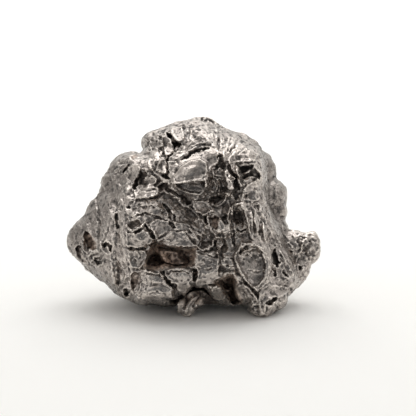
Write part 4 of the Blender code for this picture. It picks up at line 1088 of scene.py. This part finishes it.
def applyModifier(obj, kind, **values):
    modifier = obj.modifiers.new(kind.lower(), kind)
    for name, value in values.items():
        setattr(modifier, name, value)
    bpy.context.view_layer.objects.active = obj
    bpy.ops.object.modifier_apply(modifier=modifier.name)


# Turns between the table's frame in metres and the sheet's in mm.
tilt = np.array(Matrix.Rotation(sheet["lift"], 3, "X"))
origin = np.array(sheet["origin"])


def toFace(points):
    return (points / mm + origin) @ tilt.T


def fromFace(points):
    return (points @ tilt - origin) * mm


# The part of the skin in front of a ragged line, by its depth on the face.
def frontPart(mesh):
    points = toFace(pointsOf(mesh))
    return points[:, 1] < build["frontTo"] + build["frontRagged"] * noise(points, 2.5, 291)


def thin(obj, name, chosen, keep):
    obj.data.calc_loop_triangles()
    group = obj.vertex_groups.new(name=name)
    group.add(np.flatnonzero(chosen).tolist(), 1.0, "REPLACE")
    applyModifier(obj, "DECIMATE", ratio=keep / len(obj.data.loop_triangles), vertex_group=name,
                  vertex_group_factor=1.0)


print("stage: copying the solid")
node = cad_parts["meteorite"]
stone = bpy.data.objects.new("meteorite_skin", node.data.copy())
bpy.context.scene.collection.objects.link(stone)

merged = bmesh.new()
merged.from_mesh(stone.data)
bmesh.ops.remove_doubles(merged, verts=merged.verts, dist=1e-6)
merged.to_mesh(stone.data)
merged.free()

print("stage: fine skin")
applyModifier(stone, "REMESH", mode="VOXEL", voxel_size=build["voxel"] * mm)
mesh = stone.data
edges = edgesOf(mesh)
points = toFace(pointsOf(mesh))
points = averagedPoints(points, edges, build["smooth"])

# The face: the smooth form is kept, and the fine relief is cut into it along the line of sight.
setPoints(mesh, points)
soft = normalsOf(mesh)
for _ in range(3):
    soft = averagedPoints(soft, edges, 3)
    soft /= np.linalg.norm(soft, axis=1)[:, None] + 1e-9
facing = smoothStep((-soft[:, 1] - build["facingFrom"]) / build["facingRun"])
allPlaces = toSheet(points)
guard = np.ones(len(points))
for across, down, radius in guarded:
    away = np.hypot(allPlaces[:, 0] - across, allPlaces[:, 1] - down)
    guard *= smoothStep((away - radius) / build["guardFade"])
facing *= guard
seen = facing > 0.0
places = toSheet(points[seen])
relief = faceRelief(places)
relief += faceLayers(places, wobbled(places)) * roughShare(places)
cut = np.zeros(len(points))
cut[seen] = relief
residue = points[:, 1] + cut
steady = averaged(residue, edges, build["residueRounds"])  # the smooth form behind the relief
for limit in (0.5, 0.25):  # steep walls that lie a little apart in the two forms don't count
    steady = averaged(steady + np.clip(residue - steady, -limit, limit), edges, build["residueRounds"])
shift = facing * (steady - residue)
# Steep parts move along their own normal, so that nothing is dragged along the line of sight.
across = soft * soft[:, 1:2]
along = np.array((0.0, 1.0, 0.0)) - across
sightShare = smoothStep((-soft[:, 1:2] - build["steepFrom"]) / build["steepRun"])
points += shift[:, None] * (across + sightShare * along)
points[seen, 1] += facing[seen] * deepening(places)
points = averagedPoints(points, edges, build["softened"])
setPoints(mesh, points)
print("stage: face cut, mean change mm", float(np.abs(facing * (steady - residue)).mean()))

# The sides, the back and the underside: layers, flakes and thumb hollows along the normals.
aboveTable = (points @ tilt)[:, 2] - sheet["origin"][2]
normals = normalsOf(mesh)
hidden = facing < 1.0
bend, grain = texture["sideBend"], texture["grain"]
bent = points[hidden] + bend["reach"] * threeNoises(points[hidden], bend["size"], 201)
sides = lumpRelief(bent, texture["sideLumps"], 500, False)
for number, layer in enumerate(texture["sideLayers"]):
    sides += layer["depth"] * terraces(bent, layer["size"], layer["steps"], 211 + 10 * number, 0.22)
crack = texture["cracks"]
ridge = np.abs(noise(bent, crack["size"], 271)) / crack["width"]
sides -= crack["depth"] * smoothStep(1.2 - ridge) * smoothStep(noise(bent, 5.0, 275) * 4.0 + 0.7)
amount = grain["depth"] * noise(points, grain["size"], 251)
# The outline that the front view shows stays calm.
share = texture["rimShare"] + (1.0 - texture["rimShare"]) * smoothStep((soft[hidden, 1] - 0.15) / 0.4)
amount[hidden] += sides * share * (1.0 - facing[hidden])
lump = 1.0 - guard
lump[points[:, 1] > build["lumpTo"]] = 0.0
onLump = lump > 0.0
amount[onLump] += lump[onLump] * lineRelief(toSheet(points[onLump]), noduleLines)
amount *= smoothStep(aboveTable / build["tableFade"])
# Nothing swells out of the solid's box.
boxLow, boxHigh = np.array(cadBox[0]) / mm, np.array(cadBox[1]) / mm
standingNow = fromFace(points) / mm
room = np.minimum(standingNow - boxLow, boxHigh - standingNow)[:, :2].min(axis=1)
room = np.minimum(room, boxHigh[2] - standingNow[:, 2])
amount = np.minimum(amount, build["roomShare"] * np.clip(room, 0.0, None))
points += normals * amount[:, None]

setPoints(mesh, fromFace(points))

print("stage: thinning")
mesh.calc_loop_triangles()
# The back is thinned first, then the front, which keeps more.
front = frontPart(stone.data)
frontFaces = int(front[edges].all(axis=1).sum() / len(edges) * len(mesh.loop_triangles))
thin(stone, "backPart", ~front, frontFaces + build["backFaces"])
thin(stone, "frontPart", frontPart(stone.data), build["faces"])

# Finish: worn nickel-iron. Crests are painted bright, partly as rubbed metal and partly as painted
# highlight; creases and hollows are painted near black, partly as dirt and partly as painted shade; the
# hollows are rusty.
metal = {
    "body": (0.410, 0.365, 0.336, 1.0),
    # bright crest colour: rubbed metal and painted highlight
    "wornEdgeAndHighlight": (0.86, 0.785, 0.715, 1.0),
    "dull": (0.20, 0.180, 0.166, 1.0),
    # grey that multiplies in the painted shade of the flanks, the back and under the brow
    "paintedShade": (0.5, 0.5, 0.5, 1.0),
    # near black of dirt and of painted shade in creases and hollows
    "dirtAndShade": (0.014, 0.012, 0.011, 1.0),
    "rust": (0.075, 0.044, 0.030, 1.0),
    "paleRust": (0.62, 0.46, 0.36, 1.0),
    "roughness": (0.17, 0.33),
}


def ironMaterial():
    material = bpy.data.materials.new("wornIron")
    material.use_nodes = True
    nodes, links = material.node_tree.nodes, material.node_tree.links
    shader = nodes["Principled BSDF"]

    def node(kind, **values):
        made = nodes.new(kind)
        for name, value in values.items():
            setattr(made, name, value)
        return made

    def ramp(source, stops):
        made = node("ShaderNodeValToRGB")
        elements = made.color_ramp.elements
        while len(elements) < len(stops):
            elements.new(0.5)
        for element, (place, value) in zip(elements, stops):
            element.position = place
            element.color = (value, value, value, 1.0)
        links.new(source, made.inputs["Fac"])
        return made.outputs["Color"]

    def mix(share, first, second, blend="MIX"):
        made = node("ShaderNodeMix", data_type="RGBA", blend_type=blend)
        inputs = {"share": made.inputs[0], "first": made.inputs[6], "second": made.inputs[7]}
        for key, value in (("share", share), ("first", first), ("second", second)):
            if isinstance(value, bpy.types.NodeSocket):
                links.new(value, inputs[key])
            else:
                inputs[key].default_value = value
        return made.outputs[2]

    def maths(operation, first, second):
        made = node("ShaderNodeMath", operation=operation, use_clamp=True)
        for socket, value in zip(made.inputs, (first, second)):
            if isinstance(value, bpy.types.NodeSocket):
                links.new(value, socket)
            else:
                socket.default_value = value
        return made.outputs["Value"]

    coords = node("ShaderNodeTexCoord").outputs["Object"]
    wideAt = node("ShaderNodeAttribute", attribute_name="wide").outputs["Fac"]
    nearAt = node("ShaderNodeAttribute", attribute_name="near").outputs["Fac"]
    rustAt = node("ShaderNodeAttribute", attribute_name="rust").outputs["Fac"]

    def noiseNode(scale, detail=4.0, roughness=0.6):
        made = node("ShaderNodeTexNoise")
        made.inputs["Scale"].default_value = scale
        made.inputs["Detail"].default_value = detail
        made.inputs["Roughness"].default_value = roughness
        links.new(coords, made.inputs["Vector"])
        return made.outputs["Fac"]

    patches = noiseNode(260.0)
    fine = noiseNode(1800.0, 6.0, 0.65)
    # Crests are painted bright, partly as rubbed metal and partly as a painted highlight on the edges.
    wornEdgeAndHighlight = ramp(nearAt, ((0.0, 0.0), (0.48, 0.06), (0.75, 1.0)))
    # Creases and hollows are painted near black, partly as dirt and partly as painted shade.
    dirtAndShadeNear = ramp(nearAt, ((0.16, 1.0), (0.42, 0.0)))
    dirtAndShadeWide = ramp(wideAt, ((0.10, 0.95), (0.28, 0.0)))
    specks = ramp(noiseNode(1300.0, 3.0, 0.55), ((0.545, 0.0), (0.61, 0.85)))
    specks = maths("MULTIPLY", specks, ramp(nearAt, ((0.50, 1.0), (0.64, 0.0))))
    dirtAndShade = maths("MAXIMUM", maths("MAXIMUM", dirtAndShadeNear, dirtAndShadeWide), specks)
    dirtAndShade = maths("MULTIPLY", dirtAndShade, ramp(patches, ((0.2, 0.6), (0.6, 1.0))))
    colour = mix(wornEdgeAndHighlight, metal["body"], metal["wornEdgeAndHighlight"])
    colour = mix(ramp(fine, ((0.3, 0.0), (0.7, 0.35))), colour, metal["dull"])
    # Painted shade: the colour is darkened by the attribute that holds the shade painted on the flanks, the
    # back and under the brow.
    colour = mix(node("ShaderNodeAttribute", attribute_name="paintedShade").outputs["Fac"], colour,
                 metal["paintedShade"], "MULTIPLY")
    rusty = maths("MULTIPLY", rustAt, ramp(patches, ((0.35, 0.55), (0.6, 1.0))))
    speckle = ramp(noiseNode(2400.0, 3.0, 0.6), ((0.37, 0.0), (0.57, 1.0)))
    colour = mix(rusty, colour, mix(speckle, metal["rust"], metal["paleRust"]))
    dirtAndShade = maths("MULTIPLY", dirtAndShade, maths("SUBTRACT", 1.0, maths("MULTIPLY", rusty, 0.55)))
    # The dirt and the painted shade go in as near black.
    colour = mix(dirtAndShade, colour, metal["dirtAndShade"])
    links.new(colour, shader.inputs["Base Color"])
    notMetal = maths("MAXIMUM", dirtAndShade, rusty)
    matt = maths("ADD", maths("MULTIPLY", notMetal, 0.75), maths("MULTIPLY", wornEdgeAndHighlight, 0.12))
    links.new(maths("SUBTRACT", 1.0, matt), shader.inputs["Metallic"])
    rough = ramp(fine, ((0.3, metal["roughness"][0]), (0.7, metal["roughness"][1])))
    rough = mix(notMetal, rough, (0.7, 0.7, 0.7, 1.0))
    links.new(rough, shader.inputs["Roughness"])
    foil = node("ShaderNodeTexVoronoi", feature="SMOOTH_F1")
    foil.inputs["Scale"].default_value = 2600.0
    foil.inputs["Smoothness"].default_value = 0.2
    links.new(coords, foil.inputs["Vector"])
    first = node("ShaderNodeBump")
    first.inputs["Strength"].default_value = 0.35
    first.inputs["Distance"].default_value = 0.00010
    links.new(foil.outputs["Distance"], first.inputs["Height"])
    bump = node("ShaderNodeBump")
    bump.inputs["Strength"].default_value = 0.4
    bump.inputs["Distance"].default_value = 0.00008
    links.new(fine, bump.inputs["Height"])
    links.new(first.outputs["Normal"], bump.inputs["Normal"])
    links.new(bump.outputs["Normal"], shader.inputs["Normal"])
    return material


# Fine grain and small pits that follow the whole skin. Lengths in metres, scales in 1/metre.
skin = {
    "Grain Depth": 0.00007,
    "Grain Scale": 2600.0,
    "Pit Depth": 0.00013,
    "Pit Scale": 850.0,
    "Pit Size": 0.00016,
    "Seed": 4.0,
}


def skinTree():
    tree = bpy.data.node_groups.new("pittedSkin", "GeometryNodeTree")
    tree.interface.new_socket("Geometry", in_out="INPUT", socket_type="NodeSocketGeometry")
    for name in skin:
        tree.interface.new_socket(name, in_out="INPUT", socket_type="NodeSocketFloat")
    tree.interface.new_socket("Material", in_out="INPUT", socket_type="NodeSocketMaterial")
    tree.interface.new_socket("Geometry", in_out="OUTPUT", socket_type="NodeSocketGeometry")
    given = tree.nodes.new("NodeGroupInput").outputs

    def place(kind, sockets, **values):
        made = tree.nodes.new(kind)
        for name, value in values.items():
            setattr(made, name, value)
        for name, value in sockets.items():
            if isinstance(value, bpy.types.NodeSocket):
                tree.links.new(value, made.inputs[name])
            else:
                made.inputs[name].default_value = value
        return made

    def maths(operation, first, second):
        return place("ShaderNodeMath", {0: first, 1: second}, operation=operation).outputs[0]

    grain = place("ShaderNodeTexNoise", {"W": given["Seed"], "Scale": given["Grain Scale"], "Detail": 1.0},
                  noise_dimensions="4D").outputs["Fac"]
    height = maths("MULTIPLY", maths("SUBTRACT", grain, 0.5), given["Grain Depth"])
    cell = place("ShaderNodeTexVoronoi", {"W": given["Seed"], "Scale": given["Pit Scale"]},
                 voronoi_dimensions="4D").outputs
    away = maths("DIVIDE", cell["Distance"], maths("MULTIPLY", given["Pit Size"], given["Pit Scale"]))
    chosen = place("ShaderNodeSeparateXYZ", {0: cell["Color"]}).outputs["X"]
    pit = place("ShaderNodeMapRange", {"Value": maths("DIVIDE", away, chosen), "From Min": 1.2,
                                       "From Max": 0.5}).outputs["Result"]
    height = maths("SUBTRACT", height, maths("MULTIPLY", pit, given["Pit Depth"]))
    normal = tree.nodes.new("GeometryNodeInputNormal").outputs[0]
    push = place("ShaderNodeVectorMath", {0: normal, "Scale": height}, operation="SCALE").outputs[0]
    moved = place("GeometryNodeSetPosition", {"Geometry": given["Geometry"], "Offset": push})
    plain = place("GeometryNodeRealizeInstances", {"Geometry": moved.outputs[0]})
    dressed = place("GeometryNodeSetMaterial", {"Geometry": plain.outputs[0],
                                                "Material": given["Material"]})
    tree.links.new(dressed.outputs[0], tree.nodes.new("NodeGroupOutput").inputs["Geometry"])
    return tree


def growSkin(obj, material):
    tree = skinTree()
    modifier = obj.modifiers.new("skin", "NODES")
    modifier.node_group = tree
    for socket in tree.interface.items_tree:
        if socket.name in skin:
            modifier[socket.identifier] = skin[socket.name]
        elif socket.name == "Material":
            modifier[socket.identifier] = material
    graph = bpy.context.evaluated_depsgraph_get()
    grown = bpy.data.meshes.new_from_object(obj.evaluated_get(graph))
    obj.modifiers.remove(modifier)
    obj.data = grown


print("stage: grain and pits")
growSkin(stone, ironMaterial())
mesh = stone.data
setPoints(mesh, np.clip(pointsOf(mesh), np.array(cadBox[0]), np.array(cadBox[1])))
mesh.calc_loop_triangles()
print("stage: fine skin has", len(mesh.loop_triangles), "triangles")

# What the finish reads: how far each point lies under or over the skin round it, at two sizes, where the
# skin is rusty, and where shade is painted in. Lengths in mm.
finishAndShade = {
    "wideRounds": 60,
    "nearRounds": 6,
    "wideSpan": 1.4,
    "nearSpan": 0.32,
    "spacing": 0.205,
    # painted shade of the hollows: how far it lowers the wide value, and the depth on the face it reaches
    "hollowShade": 0.6,
    "hollowShadeTo": 7.0,
    # painted shade on the flanks and the back: strength, and the depths on the face it runs over; where the
    # knob starts and how much of it is spared; painted shadow under the brow
    "deepestShade": 0.75,
    "shadeFrom": -8.0,
    "shadeRun": 6.0,
    "knobFrom": 11.9,
    "knobKeeps": 0.75,
    "shadowUnderBrow": 0.95,
}
edges = edgesOf(mesh)
points = pointsOf(mesh) / mm
normals = normalsOf(mesh)


def standing(points, normals, edges, rounds):
    return ((points - averagedPoints(points, edges, rounds)) * normals).sum(axis=1)


wide = standing(points, normals, edges, finishAndShade["wideRounds"])
near = standing(points, normals, edges, finishAndShade["nearRounds"])
# Where the mesh is coarser the same rounds reach further, so the two are scaled back there.
lengths = np.repeat(np.linalg.norm(points[edges[:, 0]] - points[edges[:, 1]], axis=1), 2)
apart = np.bincount(edges.ravel(), lengths, len(points)) / np.bincount(edges.ravel(), minlength=len(points))
apart = averaged(apart, edges, 8)
coarse = np.clip(finishAndShade["spacing"] / apart, 0.3, 1.0)
near *= coarse ** 2
wide *= coarse


def giveAttribute(mesh, name, values):
    attribute = mesh.attributes.new(name, "FLOAT", "POINT")
    attribute.data.foreach_set("value", values.astype(np.float32))


rust = np.zeros(len(points))
facePoints = toFace(points * mm)
movedPlaces = toSheet(facePoints)
for hollow in hollows.values():
    if "rust" in hollow:
        inside = nearShape(movedPlaces, hollow["mouth"], 0.0)
        rust[inside] = np.maximum(
            rust[inside],
            hollow["rust"] * smoothStep(insideGap(movedPlaces[inside], hollow["mouth"]) / 1.5))
rust *= smoothStep(-facePoints[:, 1])
# Painted shade: the deep hollows lower the wide value, so the finish paints them dark.
for strength, outline in hollowShade:
    inside = nearShape(movedPlaces, outline, 2.0)
    inside[facePoints[:, 1] > finishAndShade["hollowShadeTo"]] = False
    share = smoothStep(insideGap(movedPlaces[inside], outline) / 2.0 + 0.7)
    wide[inside] -= finishAndShade["hollowShade"] * strength * share
giveAttribute(mesh, "wide", np.clip(0.5 + wide / finishAndShade["wideSpan"], 0.0, 1.0))
giveAttribute(mesh, "near", np.clip(0.5 + near / finishAndShade["nearSpan"], 0.0, 1.0))
giveAttribute(mesh, "rust", rust)
# Painted shade: the flanks and the back, which lie deeper on the face, are darkened, and the knob on the
# right much less; the face under the brow gets a painted shadow.
paintedShade = finishAndShade["deepestShade"] * smoothStep((facePoints[:, 1] - finishAndShade["shadeFrom"]) / finishAndShade["shadeRun"])
paintedShade *= 1.0 - finishAndShade["knobKeeps"] * smoothStep(facePoints[:, 0] - finishAndShade["knobFrom"])
shadowUnderBrow = smoothStep(insideGap(movedPlaces, plates["browLowerFace"]["outline"]) / 1.5 + 0.3)
paintedShade = np.maximum(paintedShade, finishAndShade["shadowUnderBrow"] * shadowUnderBrow * (facePoints[:, 1] < 0.0))
giveAttribute(mesh, "paintedShade", paintedShade)

for face in stone.data.polygons:
    face.use_smooth = True
stone.name = "meteoriteStone"
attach(stone, "root")
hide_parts("meteorite")

# Studio: a pale sheet of card that sweeps up behind the stone, a wide light above it, and a camera
# at the photograph's height and distance.
studio = {
    "eye": (0.002201, -0.215776, 0.053403),
    "aim": (0.002201, 0.000882, 0.0152),
    "lens": 120.894,
    "card": (0.94, 0.935, 0.915, 1.0),
    "cardFront": -1.2,
    "cardBend": 0.45,
    "cardRadius": 0.30,
    "cardTop": 1.3,
    "cardHalfWidth": 1.4,
    # name: place, aim, size and radiance of the panel
    "panels": {
        "overhead": ((0.0, 0.22, 0.50), (0.0, 0.0, 0.0), (0.70, 0.45), 1.45),
        "leftFill": ((-0.55, -0.10, 0.35), (0.0, 0.0, 0.015), (0.30, 0.45), 0.6),
        "rightFill": ((0.55, 0.00, 0.35), (0.0, 0.0, 0.015), (0.30, 0.45), 0.7),
        "wall": ((0.0, 0.30, 0.90), (0.0, 0.80, 0.70), (1.6, 0.20), 8.0),
    },
    # The room in reflections: in front of the stone, and everywhere else. The card looks dark in
    # reflections from here on towards the camera, where a real card would end.
    "roomFront": (0.157, 0.165, 0.174, 1.0),
    "roomFrontMatt": (0.45, 0.45, 0.45, 1.0),
    "roomRest": (0.52, 0.51, 0.495, 1.0),
    "cardDarkFrom": -0.03,
    "cardDarkFull": -0.08,
}


def makeCamera():
    camera = bpy.data.objects.new("camera", bpy.data.cameras.new("camera"))
    camera.location = studio["eye"]
    look = Vector(studio["aim"]) - Vector(studio["eye"])
    camera.rotation_euler = look.to_track_quat("-Z", "Y").to_euler()
    camera.data.sensor_width = 36.0
    camera.data.lens = studio["lens"]
    camera.data.clip_start = 0.005
    bpy.context.scene.collection.objects.link(camera)
    bpy.context.scene.camera = camera


def makeCard():
    profile = [(studio["cardFront"], 0.0)]
    steps = 16
    for step in range(steps + 1):
        angle = math.pi / 2 * step / steps
        profile.append((studio["cardBend"] + studio["cardRadius"] * math.sin(angle),
                        studio["cardRadius"] * (1.0 - math.cos(angle))))
    profile.append((studio["cardBend"] + studio["cardRadius"], studio["cardTop"]))
    side = studio["cardHalfWidth"]
    corners = [(x, y, z) for y, z in profile for x in (-side, side)]
    faces = [(2 * i, 2 * i + 1, 2 * i + 3, 2 * i + 2) for i in range(len(profile) - 1)]
    mesh = bpy.data.meshes.new("card")
    mesh.from_pydata(corners, [], faces)
    mesh.polygons.foreach_set("use_smooth", [True] * len(faces))
    card = bpy.data.objects.new("card", mesh)
    bpy.context.scene.collection.objects.link(card)
    material = bpy.data.materials.new("card")
    material.use_nodes = True
    shader = material.node_tree.nodes["Principled BSDF"]
    shader.inputs["Base Color"].default_value = studio["card"]
    shader.inputs["Roughness"].default_value = 0.9
    shader.inputs["Specular IOR Level"].default_value = 0.1
    nodes, links = material.node_tree.nodes, material.node_tree.links
    position = nodes.new("ShaderNodeNewGeometry")
    apart = nodes.new("ShaderNodeSeparateXYZ")
    links.new(position.outputs["Position"], apart.inputs[0])
    nearness = nodes.new("ShaderNodeMapRange")
    nearness.inputs["From Min"].default_value = studio["cardDarkFrom"]
    nearness.inputs["From Max"].default_value = studio["cardDarkFull"]
    links.new(apart.outputs["Y"], nearness.inputs["Value"])
    seen = nodes.new("ShaderNodeLightPath")
    share = nodes.new("ShaderNodeMath")
    share.operation = "MULTIPLY"
    links.new(seen.outputs["Is Glossy Ray"], share.inputs[0])
    links.new(nearness.outputs["Result"], share.inputs[1])
    dark = nodes.new("ShaderNodeEmission")
    dark.inputs["Color"].default_value = studio["roomFront"]
    both = nodes.new("ShaderNodeMixShader")
    links.new(share.outputs["Value"], both.inputs[0])
    links.new(shader.outputs[0], both.inputs[1])
    links.new(dark.outputs[0], both.inputs[2])
    links.new(both.outputs[0], nodes["Material Output"].inputs["Surface"])
    mesh.materials.append(material)


def makePanels():
    for name, (place, aim, size, radiance) in studio["panels"].items():
        data = bpy.data.lights.new(name, "AREA")
        data.shape = "RECTANGLE"
        data.size, data.size_y = size
        data.energy = radiance * math.pi * size[0] * size[1]
        panel = bpy.data.objects.new(name, data)
        panel.location = place
        panel.rotation_euler = (Vector(aim) - Vector(place)).to_track_quat("-Z", "Y").to_euler()
        bpy.context.scene.collection.objects.link(panel)


def makeRoom():
    room = bpy.data.worlds.new("room")
    bpy.context.scene.world = room
    room.use_nodes = True
    nodes, links = room.node_tree.nodes, room.node_tree.links
    seen = nodes.new("ShaderNodeLightPath")
    direction = nodes.new("ShaderNodeTexCoord")
    apart = nodes.new("ShaderNodeSeparateXYZ")
    links.new(direction.outputs["Generated"], apart.inputs[0])
    shade = nodes.new("ShaderNodeMapRange")
    shade.interpolation_type = "SMOOTHSTEP"
    shade.inputs["From Min"].default_value = -0.95
    shade.inputs["From Max"].default_value = -0.2
    links.new(apart.outputs["Y"], shade.inputs["Value"])
    tone = nodes.new("ShaderNodeMix")
    tone.data_type = "RGBA"
    links.new(shade.outputs["Result"], tone.inputs[0])
    glossy = nodes.new("ShaderNodeMix")
    glossy.data_type = "RGBA"
    links.new(seen.outputs["Is Glossy Ray"], glossy.inputs[0])
    glossy.inputs[6].default_value = studio["roomFrontMatt"]
    glossy.inputs[7].default_value = studio["roomFront"]
    links.new(glossy.outputs[2], tone.inputs[6])
    tone.inputs[7].default_value = studio["roomRest"]
    choose = nodes.new("ShaderNodeMix")
    choose.data_type = "RGBA"
    links.new(seen.outputs["Is Camera Ray"], choose.inputs[0])
    links.new(tone.outputs[2], choose.inputs[6])
    choose.inputs[7].default_value = (1.0, 1.0, 1.0, 1.0)
    links.new(choose.outputs[2], nodes["Background"].inputs["Color"])


makeCamera()
makeCard()
makePanels()
makeRoom()
view = bpy.context.scene.view_settings
view.view_transform = "Standard"
view.look = "None"

print("stage: done")
